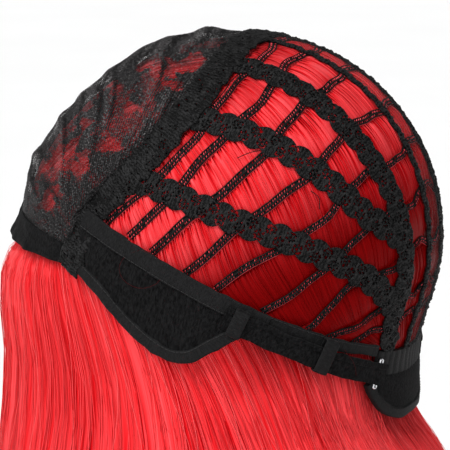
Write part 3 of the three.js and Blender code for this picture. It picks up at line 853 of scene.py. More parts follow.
def row_point(row, across):
    """Rows run back from the crown seam, and across runs from rim to rim."""
    row, across = np.broadcast_arrays(np.asarray(row, float), np.asarray(across, float))
    rim_y = lerp(RIM_FIRST_Y, RIM_LAST_Y, row)
    rim_z = rim_height(rim_y)
    top = crest(lerp(CREST_FIRST_ANGLE, CREST_LAST_ANGLE, row))
    dy = top[..., 1] - rim_y
    dz = top[..., 2] - rim_z
    bow = ROW_BOW * np.maximum(1 - row, 0) / np.hypot(dy, dz)
    bend_y = rim_y + ROW_BEND_PLACE * dy + bow * dz
    bend_z = rim_z + ROW_BEND_PLACE * dz - bow * dy
    t = 1 - np.abs(across) ** HEAD_POWER
    y = (1 - t) ** 2 * rim_y + 2 * t * (1 - t) * bend_y + t ** 2 * top[..., 1]
    z = (1 - t) ** 2 * rim_z + 2 * t * (1 - t) * bend_z + t ** 2 * top[..., 2]
    return side_point(y, z, np.where(across < 0, -1, 1))


def weft_row(row, across):
    """Toward the rim the lower wefts swing back along it."""
    swing = ease(row, *WEFT_SWING_RISE) * (1 - ease(row, *WEFT_SWING_FALL))
    return row + WEFT_SWING * swing * ease(np.abs(across), *WEFT_SWING_OUTWARD)


def frame_on(path, u):
    place = seat(path(u))
    ahead = path(u + PATH_STEP) - path(u - PATH_STEP)
    normal = form_normal(place)
    side = unit(np.cross(normal, ahead))
    return place, np.cross(side, normal), side, normal


def beside(path, u, distance):
    place, _, side, _ = frame_on(path, u)
    return place + side * np.asarray(distance)[..., None]


def strip(path):
    """Length of a path, and a function from its run, distance beside it and level to a point."""
    u = np.linspace(0, 1, PATH_SAMPLES)
    length = run_along(seat(path(u)))

    def place(s, d, level):
        return lift(beside(path, np.interp(s, length, u), d), level)

    return length[-1], place


# Meshes
def outward(points, faces):
    a, b, c = (points[faces[:, k]] for k in range(3))
    volume = np.einsum("ij,ij->", a, np.cross(b, c))
    if faces.shape[1] == 4:
        volume += np.einsum("ij,ij->", a, np.cross(c, points[faces[:, 3]]))
    return faces if volume > 0 else faces[:, ::-1]


def masked_wall(outer, inner, keep):
    """A closed wall between two grids, with only the cells that keep marks."""
    count = outer.shape[0] * outer.shape[1]
    at = np.arange(count).reshape(outer.shape[:2])
    a, b, c, d = at[:-1, :-1], at[1:, :-1], at[1:, 1:], at[:-1, 1:]
    top = np.stack([a, b, c, d], -1)[keep]
    faces = [top, top[:, ::-1] + count]
    held = np.pad(keep, 1)
    rows, columns = keep.shape
    for p, q, i, j in ((a, b, 0, -1), (b, c, 1, 0), (c, d, 0, 1), (d, a, -1, 0)):
        free = keep & ~held[1 + i:1 + i + rows, 1 + j:1 + j + columns]
        faces.append(np.stack([q[free], p[free], p[free] + count, q[free] + count], -1))
    return np.concatenate([outer.reshape(-1, 3), inner.reshape(-1, 3)]), np.concatenate(faces)


def wall(outer, inner):
    return masked_wall(outer, inner, np.ones((outer.shape[0] - 1, outer.shape[1] - 1), bool))


def ring_mesh(sections):
    """A closed ring of closed sections, one row of points for each section."""
    at = np.arange(sections.shape[0] * sections.shape[1]).reshape(sections.shape[:2])
    ahead = np.roll(at, -1, 0)
    quads = np.stack([at, np.roll(at, -1, 1), np.roll(ahead, -1, 1), ahead], -1).reshape(-1, 4)
    points = sections.reshape(-1, 3)
    return points, outward(points, quads)


def tube_mesh(paths, ups, widths, heights, tones, sides=4):
    """Closed tubes along many paths at once, with their flat coordinates."""
    paths = np.asarray(paths, float)
    many, steps = paths.shape[:2]
    ahead = unit(np.gradient(paths, axis=1))
    across = unit(np.cross(np.broadcast_to(ups, paths.shape), ahead))
    up = np.cross(ahead, across)
    turn = 2 * math.pi * np.arange(sides) / sides
    wide = np.broadcast_to(widths, (many, steps))[..., None, None] / 2 * np.cos(turn)[:, None]
    high = np.broadcast_to(heights, (many, steps))[..., None, None] / 2 * np.sin(turn)[:, None]
    points = paths[:, :, None] + across[:, :, None] * wide + up[:, :, None] * high
    at = np.arange(many * steps * sides).reshape(many, steps, sides)
    ahead_ring = np.roll(at, -1, 2)
    quads = np.stack([at[:, :-1], ahead_ring[:, :-1], ahead_ring[:, 1:], at[:, 1:]], -1).reshape(-1, 4)
    caps = [at[:, 0, ::-1], at[:, -1]]
    if sides == 4:
        faces = np.concatenate([quads] + caps)
    else:
        fans = []
        for cap in caps:
            for k in range(1, sides - 1, 2):
                last = min(k + 2, sides - 1)
                fans.append(np.stack([cap[:, 0], cap[:, k], cap[:, k + 1], cap[:, last]], -1))
        faces = np.concatenate([quads] + fans)
    beside_line = wide[..., 0] + rng.uniform(0, STREAK_SPREAD, (many, 1, 1))
    run = run_along(paths, 1)[..., None]
    tone = np.broadcast_to(tones, (many,))[:, None, None]
    return points.reshape(-1, 3), faces, flat_map(beside_line, run, tone, 1)


def thread_mesh(line, size, tone):
    return tube_mesh(line[None], form_normal(seat(line))[None], size, size, tone)


def joined(parts):
    points = []
    faces = []
    flats = []
    count = 0
    for part_points, part_faces, part_flat in parts:
        points.append(part_points)
        faces += (part_faces + count).tolist()
        flats.append(part_flat)
        count += len(part_points)
    return np.concatenate(points), faces, np.concatenate(flats)


def add_piece(
        name, points, faces, flat, materials, slot, stands_for=(), sharp=None, finish=None, shade=None):
    """One visible piece; finish gives each face its place in materials."""
    if isinstance(faces, np.ndarray):
        faces = faces.tolist()
    faces = [list(dict.fromkeys(face)) for face in faces]
    used = np.zeros(len(points), bool)
    used[np.fromiter((k for face in faces for k in face), int)] = True
    renumber = np.cumsum(used) - 1
    faces = [[int(renumber[k]) for k in face] for face in faces]
    mesh = bpy.data.meshes.new(name)
    mesh.from_pydata(((points[used] - (0, 0, SEAT_HEIGHT)) * MM).tolist(), [], faces)
    attribute = mesh.attributes.new("flat", "FLOAT_VECTOR", "POINT")
    attribute.data.foreach_set("vector", np.ascontiguousarray(flat[used], np.float32).ravel())
    if shade is not None:
        attribute = mesh.attributes.new("shade", "FLOAT", "POINT")
        attribute.data.foreach_set("value", np.ascontiguousarray(shade[used], np.float32))
    for material in materials:
        mesh.materials.append(material)
    if finish is not None:
        mesh.polygons.foreach_set("material_index", np.asarray(finish, np.int32))
    mesh.shade_smooth()
    if sharp:
        mesh.set_sharp_from_angle(angle=math.radians(sharp))
    mesh.update()
    piece = bpy.data.objects.new(name, mesh)
    bpy.context.scene.collection.objects.link(piece)
    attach(piece, "root")
    if stands_for:
        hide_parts(*stands_for)
    return piece


def add_joined(name, groups, materials, slot, stands_for, sharp=SHARP_ANGLE):
    """groups pairs each mesh with its place in materials."""
    points, faces, flat = joined([mesh for mesh, _ in groups])
    finish = [place for mesh, place in groups for _ in range(len(mesh[1]))]
    return add_piece(name, points, faces, flat, materials, slot, stands_for, sharp, finish)


# Materials
class Value:
    """A number that the nodes of a material work out at each point."""

    def __init__(self, tree, socket):
        self.tree = tree
        self.socket = socket

    def maths(self, operation, other=0.0):
        made = make_node(self.tree, "ShaderNodeMath", {0: self, 1: other}, operation=operation)
        return Value(self.tree, made.outputs[0])

    def __add__(self, other):
        return self.maths("ADD", other)

    def __sub__(self, other):
        return self.maths("SUBTRACT", other)

    def __mul__(self, other):
        return self.maths("MULTIPLY", other)


def make_node(tree, kind, inputs=None, **settings):
    made = tree.nodes.new(kind)
    for key, value in settings.items():
        setattr(made, key, value)
    for key, value in (inputs or {}).items():
        if isinstance(value, Value):
            tree.links.new(value.socket, made.inputs[key])
        else:
            made.inputs[key].default_value = value
    return made


def ramp(value, stops):
    made = make_node(value.tree, "ShaderNodeValToRGB", {"Fac": value})
    elements = made.color_ramp.elements
    while len(elements) < len(stops):
        elements.new(0.5)
    for element, (place, colour) in zip(elements, stops):
        element.position = place
        element.color = (*colour, 1)
    return Value(value.tree, made.outputs["Color"])


def start_material(name, constants):
    material = bpy.data.materials.new(name)
    material.use_nodes = True
    shader = material.node_tree.nodes["Principled BSDF"]
    for key, value in constants.items():
        shader.inputs[key].default_value = value
    return material, material.node_tree, shader


def feed(value, shader, socket):
    value.tree.links.new(value.socket, shader.inputs[socket])


def attribute_value(tree, name):
    made = make_node(tree, "ShaderNodeAttribute", attribute_name=name)
    return Value(tree, made.outputs["Fac"])


def flat_parts(tree):
    flat = make_node(tree, "ShaderNodeAttribute", attribute_name="flat")
    parts = make_node(tree, "ShaderNodeSeparateXYZ", {0: Value(tree, flat.outputs["Vector"])})
    return [Value(tree, socket) for socket in parts.outputs]


def noise(parts, scales, detail=SOFT_DETAIL):
    tree = parts[0].tree
    scaled = [part * scale for part, scale in zip(parts, scales)]
    place = make_node(tree, "ShaderNodeCombineXYZ", dict(enumerate(scaled)))
    inputs = {"Vector": Value(tree, place.outputs[0]), "Scale": 1.0, "Detail": detail}
    return Value(tree, make_node(tree, "ShaderNodeTexNoise", inputs).outputs[0])


def bump(height, shader, strength, distance):
    inputs = {"Height": height, "Strength": strength, "Distance": distance}
    made = make_node(height.tree, "ShaderNodeBump", inputs)
    feed(Value(height.tree, made.outputs[0]), shader, "Normal")


def hair_material(name, stops, streaks=HAIR_STREAKS):
    """Streaks along the hair; the shade attribute mixes in painted shade, darkest at the nape."""
    fine_share, broad_share, fine_scale = streaks
    material, tree, shader = start_material(name, {
        "Roughness": HAIR_ROUGHNESS,
        "Metallic": HAIR_METAL,
        "Specular IOR Level": HAIR_GLOSS,
        "Specular Tint": HAIR_GLOSS_TINT,
    })
    parts = flat_parts(tree)
    fine = noise(parts, (fine_scale, HAIR_FINE_LENGTH, 0))
    broad = noise(parts, HAIR_BROAD_SCALE)
    middle = HAIR_TONE_MIDDLE - (fine_share + broad_share) / 2
    tone = parts[2] * HAIR_TONE_SHARE + (fine * fine_share + broad * broad_share + middle)
    inputs = {
        "Factor": attribute_value(tree, "shade"),
        MIX_FIRST_COLOUR: ramp(tone, stops),
        MIX_SECOND_COLOUR: ramp(tone, NAPE_SHADE_STOPS),
    }
    mix = make_node(tree, "ShaderNodeMix", inputs, data_type="RGBA")
    feed(Value(tree, mix.outputs[MIX_RESULT_COLOUR]), shader, "Base Color")
    bump(fine, shader, *HAIR_BUMP)
    return material


def cloth_material(name):
    dark, pale, grain, rough, gloss, strength, rope = CLOTHS[name]
    material, tree, shader = start_material(name, {
        "Roughness": rough,
        "Specular IOR Level": gloss,
        "Sheen Weight": CLOTH_SHEEN,
        "Sheen Roughness": CLOTH_SHEEN_ROUGHNESS,
    })
    parts = flat_parts(tree)
    fine = noise(parts, (1 / grain[0], 1 / grain[1], CLOTH_TONE_SCALE), CLOTH_DETAIL)
    # The third flat coordinate shifts the tone; on the lace strips and seam it carries painted light on the
    # raised relief
    raised = fine + (parts[2] - PLAIN_TONE) * CLOTH_TONE_SHARE
    if rope:
        bend = noise(parts, ROPE_BEND_SCALE) * ROPE_BEND
        raised = raised + (parts[0] * ROPE_TURNS + bend).maths("SINE") * rope
    feed(ramp(raised, list(zip(CLOTH_STOPS, (dark, pale)))), shader, "Base Color")
    bump(fine, shader, strength, CLOTH_BUMP_DISTANCE)
    return material


def sheer_material(name, least):
    """Net of slanting threads, closed where the third flat coordinate is near one."""
    material, tree, shader = start_material(
        name, {"Roughness": NET_ROUGHNESS, "Specular IOR Level": NET_GLOSS})
    parts = flat_parts(tree)
    x, y, dense = parts
    lines = []
    for direction in (1, -1):
        slant = x * (NET_PITCH * direction) + y * NET_PITCH
        lines.append(slant.maths("SINE").maths("ABSOLUTE"))
    thread = lines[0].maths("MINIMUM", lines[1])
    fine = noise(parts, NET_FINE_SCALE, NET_DETAIL)
    blotch = noise(parts, NET_BLOTCH_SCALE)
    uneven = (fine - 0.5) * NET_BROKEN + (blotch - 0.5) * NET_PATCHY
    uneven = uneven * (dense * NET_UNEVEN[0] + NET_UNEVEN[1])
    cover = (dense * NET_CLOSED[0] + NET_CLOSED[1] + uneven).maths("MAXIMUM", least)
    feed(thread.maths("LESS_THAN", cover), shader, "Alpha")
    net_tone_and_fold_light = fine * NET_CREST_FINE - thread * NET_CREST_THREAD
    # The shade attribute adds painted light on fold ridges and painted shade in creases
    net_tone_and_fold_light = net_tone_and_fold_light + (attribute_value(tree, "shade") - NET_CREST_MIDDLE)
    feed(ramp(net_tone_and_fold_light, NET_STOPS), shader, "Base Color")
    bump(net_tone_and_fold_light, shader, *NET_BUMP)
    return material


def steel_material(name):
    material, tree, shader = start_material(name, {"Metallic": 1.0})
    worn = noise(flat_parts(tree), STEEL_WEAR_SCALE, STEEL_DETAIL)
    feed(ramp(worn, STEEL_STOPS), shader, "Base Color")
    feed(ramp(worn, STEEL_ROUGHNESS), shader, "Roughness")
    bump(worn, shader, *STEEL_BUMP)
    return material


hair_red = hair_material("hair", HAIR_STOPS, FALL_STREAKS)
hair_row = hair_material("hair_row", ROW_STOPS)
hair_pale = hair_material("hair_pale", PALE_STOPS)
hair_shade = hair_material("hair_painted_shade", SHADE_STOPS)
hair_dot = hair_material("hair_fold", DOT_STOPS)
black_lace = cloth_material("lace")
black_thread = cloth_material("thread")
black_velvet = cloth_material("velvet")
edge_thread = cloth_material("edge_thread")
black_tape = cloth_material("tape")
sheer_lace = sheer_material("sheer_lace", NET_THREAD)
spine_mesh = sheer_material("spine_mesh", SPINE_THREAD)
hook_steel = steel_material("hook_steel")


# Hair behind the cap
def hair_reach(z):
    ring = root(1 - side_share(z))
    back_ring = root(1 - nape_share(z))
    reach = []
    for column, near in ((1, HEAD_HALF_WIDTH * ring), (2, HEAD_FRONT * ring), (3, HEAD_BACK * back_ring)):
        low = read_table(HAIR_FORM, column, np.maximum(-z, HAIR_FORM[0, 0]))
        reach.append(np.where(-z < HAIR_FORM[0, 0], near - HAIR_CLEARANCE, low))
    return reach


def hanging_point(turn, z, depth):
    side, front, back = hair_reach(z)
    along = np.where(np.cos(turn) > 0, front, back)
    edge = 1 / root(share(np.sin(turn), side) + share(np.cos(turn), along))
    grown = 1 - np.exp(np.minimum(z, 0) / FRONT_SWELL_DROP)
    swell = FRONT_SWELL * grown * np.maximum(np.cos(turn), 0) ** FRONT_SWELL_POWER
    radius = edge + swell - depth
    return vec(radius * np.sin(turn), -radius * np.cos(turn), z)


def add_hair_shell():
    turn = np.linspace(0, 2 * math.pi, SHELL_TURNS, endpoint=False)[None, :]
    tilt = np.linspace(SHELL_FIRST_TILT, math.pi / 2, SHELL_DOME_STEPS)[:, None]
    z = np.linspace(0, SHELL_TIP_HEIGHT, SHELL_FALL_STEPS)[1:, None] + 0 * turn
    layers = []
    for level in (SHELL_LEVEL, SHELL_INNER_LEVEL):
        dome = lift(vec(np.sin(turn) * np.sin(tilt), -np.cos(turn) * np.sin(tilt), np.cos(tilt)), level)
        sunk = -level - HAIR_CLEARANCE + SHELL_FALL_DEPTH * smooth(-z / SHELL_FALL_DROP)
        layers.append(np.concatenate([dome, hanging_point(turn + 0 * z, z, sunk)]))
    rings = np.concatenate([layers[0], layers[1][::-1]])
    at = np.arange(rings.shape[0] * rings.shape[1]).reshape(rings.shape[:2])
    ahead = np.roll(at, -1, 1)
    quads = np.stack([at[:-1], ahead[:-1], ahead[1:], at[1:]], -1).reshape(-1, 4)
    points = rings.reshape(-1, 3)
    faces = outward(points, quads).tolist() + [at[0].tolist(), at[-1, ::-1].tolist()]
    flat = flat_map(turn * SHELL_FLAT_SPAN, run_along(rings), SHELL_TONE, 1)
    stands_for = ["hair_crown"] + [f"hair_upper_{label}" for label in HAIR_SECTORS]
    # Painted shade: a dark hair shell beneath the rows and the fall
    add_piece("hair_shell", points, faces, flat, [hair_shade], "hair", stands_for)


def row_places(start, end, pitch, scatter, t):
    """Places of hair from one weft to past the next, and the painted shade of each part."""
    a = np.linspace(-ROW_REACH, ROW_REACH, PATH_SAMPLES)
    length = run_along(row_point((start + end) / 2, a))
    count = int(length[-1] / pitch)
    s = (np.arange(count) + 0.5)[:, None] * pitch
    s = s + rng.normal(0, scatter, (count, 1)) * (ROW_SCATTER_FIRST + t)
    across = np.interp(s, length, a)
    lean = ROW_LEAN * ease(np.abs(across), *ROW_LEAN_SIDE) * np.sign(across)
    run = (end - start) * ROW_OVERRUN * t
    across = across + lean * (run - (end - start) / 2)
    row = start + run
    # Painted shade toward the nape, and painted shadow of the crown seam
    shade = ease(row + ROW_SHADE_SIDE * np.abs(across), *ROW_SHADE)
    seam_shadow = (1 - ease(row, *SEAM_SHADE_ROWS)) * (1 - ease(np.abs(across), *SEAM_SHADE_SIDE))
    shade = np.maximum(shade, SEAM_SHADE * seam_shadow)
    return row_point(weft_row(row, across), across), s, shade


def row_level(t):
    in_gap = np.clip(t * ROW_OVERRUN, 0, 1)
    past = np.maximum(t * ROW_OVERRUN - 1, 0) / (ROW_OVERRUN - 1)
    return ROW_LEVEL + ROW_SWELL * hump(in_gap ** ROW_SWELL_POWER) - ROW_TUCK * past


def row_slits(s, t):
    """Depth share of the slits between the bunches of hair that leave a weft; it also sets painted shade in
    them.
    """
    edges = np.arange(0, s.max() + 2 * SLIT_PITCH, SLIT_PITCH)
    edges = edges + rng.uniform(-SLIT_SCATTER, SLIT_SCATTER, len(edges))
    reach = rng.uniform(*SLIT_REACH, len(edges)) * rng.choice(SLIT_REACH_SHARES, len(edges))
    near = np.abs(s[:, :1] - edges[None, :]).argmin(1)
    gap = bell(s[:, :1], edges[near][:, None], SLIT_HALF_WIDTH)
    return gap * (1 - ease(t, SLIT_FIRST, reach[near][:, None]))


def row_sheet(start, end, t):
    places, s, shade = row_places(start, end, ROW_PITCH, 0.0, t)
    fine = ridges(*shade.shape, ROW_FINE[0], ROW_RIDGE_STEPS)
    medium = ridges(*shade.shape, ROW_MEDIUM[0], ROW_RIDGE_STEPS)
    lively = 1 - ROW_SHADE_CALM * shade
    slit = row_slits(s, t) * lively
    broad = ridges(*shade.shape, ROW_BROAD[0], ROW_RIDGE_STEPS)
    level = row_level(t) + lively * (ROW_FINE[1] * fine + ROW_MEDIUM[1] * medium)
    level = level + ROW_BROAD[1] * broad - SLIT_DEPTH * slit
    points, faces = wall(lift(places, level), lift(places, level - ROW_WALL))
    # Painted shade under the wefts, in the slits and toward the nape
    weft_shade = np.exp(-t / ROW_WEFT_SHADE_SHARE) + np.exp(-np.abs(t * ROW_OVERRUN - 1) / ROW_WEFT_SHADE_SHARE)
    tone = ROW_TONE + ROW_RIDGE_TONE * lively * (fine + medium)
    tone = tone - SLIT_SHADE_TONE * slit - ROW_WEFT_SHADE_TONE * weft_shade - ROW_SHADE_TONE * shade
    flat = flat_map(s + ROW_FLAT_STEP * start, ROW_FLAT_LENGTH * t, np.clip(tone, 0, 1))
    return (points, outward(points, faces), flat), np.tile(shade.ravel(), 2)


def row_strands(start, end, t):
    places, s, shade = row_places(start, end, ROW_STRAND_PITCH, ROW_STRAND_SCATTER, t)
    paths = lift(places, row_level(t) + rng.uniform(*ROW_STRAND_LEVEL, (len(s), 1)))
    tone = np.clip(rng.normal(*ROW_STRAND_TONE, len(s)), 0, 1)
    ups = form_normal(seat(paths))
    mesh = tube_mesh(paths, ups, ROW_STRAND_WIDTH, ROW_STRAND_WIDTH, tone, STRAND_SIDES)
    return mesh, np.repeat(shade.ravel(), STRAND_SIDES)


def add_hair_rows():
    t = (np.linspace(0, 1, ROW_STEPS) ** ROW_STEP_POWER)[None, :]
    made = {"hair_rows": [], "hair_row_strands": []}
    for start, end in zip(ROW_STARTS, ROW_ENDS):
        made["hair_rows"].append(row_sheet(start, end, t))
        made["hair_row_strands"].append(row_strands(start, end, t))
    for name, parts in made.items():
        points, faces, flat = joined([mesh for mesh, _ in parts])
        shade = np.concatenate([shade for _, shade in parts])
        add_piece(name, points, faces, flat, [hair_row], "hair", shade=shade)


def from_front(turn):
    return math.pi - np.abs(math.pi - turn % (2 * math.pi))


def fall_turn(turn, drop):
    """Hair swings back from the face as it falls."""
    swing = ease(from_front(turn), *FALL_LEAN_TURN)
    return turn + FALL_LEAN * np.sin(turn) * swing * (1 - np.exp(-drop / FALL_LEAN_DROP))


def rim_edge(turn):
    return np.interp(np.minimum(turn, 2 * math.pi - turn), EDGE_TURNS, EDGE_HEIGHTS)


def fall_waves(turn, drop):
    """Broad hollows between the larger locks, which also carry painted shade."""
    hollow = 0 * drop
    for at, half, strength, first in FALL_WAVES:
        middle = at + FALL_WAVE_SWAY * np.sin(drop / FALL_WAVE_LENGTH + FALL_WAVE_PHASE * at)
        grown = ease(drop, first, FALL_WAVE_GROWTH)
        hollow = hollow + strength * bell(from_front(turn), middle, half) * grown
    return np.minimum(hollow, 1)


def partings(turn, drop):
    """Narrow gaps between locks, that open and close on the way down."""
    cut = np.zeros(np.broadcast(turn, drop).shape)
    for _ in range(PARTING_COUNT):
        column = rng.integers(len(turn))
        middle = rng.uniform(*PARTING_DROPS)
        reach = rng.uniform(*PARTING_REACHES)
        opened = np.exp(-((drop[column] - middle) / reach) ** PARTING_POWER)
        cut[column] += rng.uniform(*PARTING_DEPTHS) * opened
    return np.minimum(cut, 1)


def fall_shade(turn, drop):
    """Painted shade on the hair close under the strap and the nape."""
    behind = ease(from_front(turn), *FALL_SHADE_TURN)
    reach = lerp(*FALL_SHADE_DROPS, ease(from_front(turn), *FALL_SHADE_DROP_TURN))
    return FALL_SHADE * behind * (1 - ease(drop, FALL_SHADE_FIRST, reach))


def fall_heights(first, last, steps):
    """Heights on the way down, with shorter steps near the rim."""
    q = np.linspace(0, 1, steps)[None, :]
    return lerp(first, last, 0.5 * q + 0.5 * q * q), q


def add_hair_curtain():
    turn = np.linspace(0, 2 * math.pi, SHEET_COLUMNS, endpoint=False)[:, None]
    first = rim_edge(turn) + SHEET_START
    tips = ridges(SHEET_COLUMNS, 2, SHEET_TIP_SCALE, 2)[:, :1]
    z, _ = fall_heights(first, SHEET_TIP_HEIGHT + SHEET_TIP_SCATTER * tips, SHEET_ROWS)
    drop = first - z
    wave = fall_waves(turn, drop)
    broad, medium, fine = (
        ridges(SHEET_COLUMNS, SHEET_ROWS, scale, SHEET_RIDGE_STEPS) for scale in SHEET_RIDGE_SCALES)
    grown = smooth(drop / SHEET_GROWTH)
    cut = partings(turn, drop)
    deep_broad, deep_medium, deep_fine = SHEET_RIDGE_DEPTHS
    depth = SHEET_DEPTH + grown * (wave + deep_broad * broad + deep_medium * medium)
    depth = np.clip(depth + deep_fine * fine + SHEET_PARTING_DEPTH * cut, *SHEET_DEPTH_LIMITS)
    place = fall_turn(turn, drop) + SHEET_SWAY * grown * broad
    outer = hanging_point(place, z, depth)
    inner = hanging_point(place, z, depth + SHEET_WALL)
    points, faces = ring_mesh(np.concatenate([outer, inner[:, ::-1]], 1))
    tone_broad, tone_medium, tone_fine = SHEET_RIDGE_TONES
    tone = SHEET_TONE + tone_broad * broad + tone_medium * medium + tone_fine * fine
    # Painted shade in the partings, and painted light on the hair toward the back
    tone = tone - SHEET_PARTING_SHADE * cut + BACK_LIGHT_TONE * ease(from_front(turn), *BACK_LIGHT_TURN) * grown
    side = np.stack(np.broadcast_arrays(turn * SHEET_FLAT_SPAN, drop, np.clip(tone, 0, 1)), -1)
    flat = np.concatenate([side, side[:, ::-1]], 1).reshape(-1, 3)
    # Painted shade under the strap and nape, in the hollows between locks and on the broad ridges
    shade = fall_shade(place, drop) + FALL_WAVE_SHADE * wave + SHEET_RIDGE_SHADE * np.clip(broad, 0, 1)
    shade = np.clip(np.concatenate([shade, shade[:, ::-1]], 1), 0, 1).ravel()
    add_piece("hair_curtain", points, faces, flat, [hair_red], "hair", shade=shade)


class Fall:
    """Paths of many locks or strands from the rim to their tips."""

    def __init__(self, count, steps, depths, gather, sway):
        turn = (np.arange(count) + rng.uniform(0, 1, count)) * 2 * math.pi / count
        first = (rim_edge(turn) + rng.uniform(*PATH_START, count))[:, None]
        last = (HAIR_TIP_HEIGHT + PATH_TIP_GAP + rng.gamma(*PATH_TIP_SHAPE, count))[:, None]
        z, self.down = fall_heights(first, last, steps)
        drop = first - z
        clump = np.round(turn / CLUMP_ANGLE + rng.normal(0, CLUMP_SCATTER, count)) * CLUMP_ANGLE
        phase = rng.uniform(0, 2 * math.pi, (count, 1))
        start = turn[:, None] + gather * ease(drop, *CLUMP_DROP) * (clump - turn)[:, None]
        swayed = sway * np.sin(drop / PATH_SWAY_LENGTH + phase) * smooth(drop / PATH_SWAY_GROWTH)
        place = fall_turn(start, drop) + swayed
        self.layer = rng.uniform(0, 1, (count, 1))
        lifted = np.sin(drop / PATH_LIFT_LENGTH + 2 * phase) * smooth(drop / PATH_LIFT_GROWTH)
        hollow = fall_waves(start, drop)
        depth = lerp(*depths, self.layer) + PATH_LIFT * lifted + hollow
        self.paths = hanging_point(place, z, np.maximum(depth, PATH_LEAST_DEPTH))
        self.ups = vec(np.sin(place), -np.cos(place), 0 * z)
        self.sector = np.round(turn / (2 * math.pi / len(HAIR_SECTORS))).astype(int) % len(HAIR_SECTORS)
        # Painted shade under the strap and nape and in the hollows
        self.shade = np.minimum(fall_shade(place, drop) + FALL_WAVE_SHADE * hollow, 1)

    def part(self, k, widths, heights, tones, sides):
        """The tubes of one sector, and the shade of their points."""
        a = self.sector == k
        mesh = tube_mesh(self.paths[a], self.ups[a], widths[a], heights[a], tones[a], sides)
        return mesh, np.repeat(self.shade[a].ravel(), sides)


def add_hair_fall():
    locks = Fall(**LOCKS)
    strands = Fall(**STRANDS)
    lock_width = rng.uniform(*LOCK_WIDTH, (LOCKS["count"], 1))
    lock_width = lock_width * (1 - LOCK_THIN * ease(locks.down, *LOCK_TIP))
    # Painted shade: deeper locks are darker
    lock_tone = rng.normal(*LOCK_TONE, LOCKS["count"]) - LOCK_DEPTH_SHADE * locks.layer[:, 0]
    strand_width = rng.uniform(*STRAND_WIDTH, (STRANDS["count"], 1))
    strand_width = strand_width * (1 - STRAND_THIN * ease(strands.down, *STRAND_TIP))
    # Painted light on the strands toward the back
    around = np.abs(np.arctan2(strands.paths[:, 0, 0], -strands.paths[:, 0, 1]))
    strand_tone = rng.normal(*STRAND_TONE, STRANDS["count"]) + BACK_LIGHT_TONE * ease(around, *BACK_LIGHT_TURN)
    add_hair_curtain()
    strays = Fall(**STRAYS)
    mesh = tube_mesh(
        strays.paths, strays.ups, *STRAY_SIZE, rng.uniform(*STRAY_TONE, STRAYS["count"]), STRAND_SIDES)
    add_piece("hair_flyaways", *mesh, [hair_pale], "hair")
    lock_height = LOCK_FLATNESS * lock_width + LOCK_LEAST_HEIGHT
    strand_height = STRAND_FLATNESS * strand_width
    for k, label in enumerate(HAIR_SECTORS):
        parts = (
            locks.part(k, lock_width, lock_height, np.clip(lock_tone, 0, 1), LOCK_SIDES),
            strands.part(k, strand_width, strand_height, np.clip(strand_tone, 0, 1), STRAND_SIDES),
        )
        points, faces, flat = joined([mesh for mesh, _ in parts])
        shade = np.concatenate([shade for _, shade in parts])
        stands_for = [f"hair_fall_{label}"]
        add_piece(f"locks_{label}", points, faces, flat, [hair_red], "hair", stands_for, shade=shade)


# Front band and front lace
def front_band_path(u):
    along = 2 * u - 1
    turn = np.radians(FRONT_BAND_REACH * along)
    z = FRONT_BAND_HEIGHT + (FRONT_BAND_TEMPLE_HEIGHT - FRONT_BAND_HEIGHT) * along ** 2
    return seat(vec(HEAD_HALF_WIDTH * np.sin(turn), -HEAD_FRONT * np.cos(turn), z))


def front_band_width(u):
    return lerp(FRONT_BAND_WIDTH, FRONT_BAND_TEMPLE_WIDTH, (2 * u - 1) ** 2)


def seam_path(u):
    return row_point(0, SEAM_END * (2 * u - 1))


def add_front_hair():
    u = (np.arange(FRONT_HAIR_COUNT) + rng.uniform(0, 1, FRONT_HAIR_COUNT)) / FRONT_HAIR_COUNT
    v = np.linspace(*FRONT_HAIR_REACH, FRONT_HAIR_STEPS)[None, :, None]
    line = beside(front_band_path, u[:, None], 0) * (1 - v) + beside(seam_path, u[:, None], 0) * v
    level = FRONT_HAIR_LEVEL + rng.uniform(*FRONT_HAIR_LIFT, (FRONT_HAIR_COUNT, 1))
    paths = lift(line, level + 0 * line[..., 0])
    tone = np.clip(rng.normal(*FRONT_HAIR_TONE, FRONT_HAIR_COUNT), 0, 1)
    width = rng.uniform(*FRONT_HAIR_WIDTH, (FRONT_HAIR_COUNT, 1))
    mesh = tube_mesh(paths, form_normal(seat(paths)), width, FRONT_HAIR_HEIGHT, tone)
    add_piece("hair_front", *mesh, [hair_row], "hair")


def add_front_band():
    u, v = grid(*FRONT_BAND_STEPS)
    u = lerp(-FRONT_BAND_TUCK, 1 + FRONT_BAND_TUCK, u)
    line = beside(front_band_path, u + 0 * v, front_band_width(u) * (v - 0.5))
    flare = FRONT_BAND_FLARE * (1 - v) ** 2 * np.maximum(1 - (2 * u - 1) ** 2, 0)
    ripple = FRONT_BAND_EDGE_RIPPLE[0] * np.sin(u * FRONT_BAND_EDGE_RIPPLE[1]) * (1 - v)
    ripple = ripple + FRONT_BAND_RIPPLE[0] * np.sin(u * FRONT_BAND_RIPPLE[1] + 1)
    ripple = ripple + FRONT_BAND_CRUSH * ridges(u.size, v.size, *FRONT_BAND_CRUSH_SCALE)
    border = FRONT_BAND_BORDER * np.minimum(np.minimum(v, 1 - v) / FRONT_BAND_BORDER_SHARE, 1)
    inner, outer = FRONT_BAND_LEVEL
    points, faces = wall(lift(line, outer + border + flare + ripple), lift(line, inner + flare + ripple))
    flat = flat_map(u * FRONT_BAND_LENGTH, v * FRONT_BAND_WIDTH, PLAIN_TONE)
    add_piece("brow_band", points, faces, flat, [black_velvet], "velvet", ["front_band"], SHARP_ANGLE)


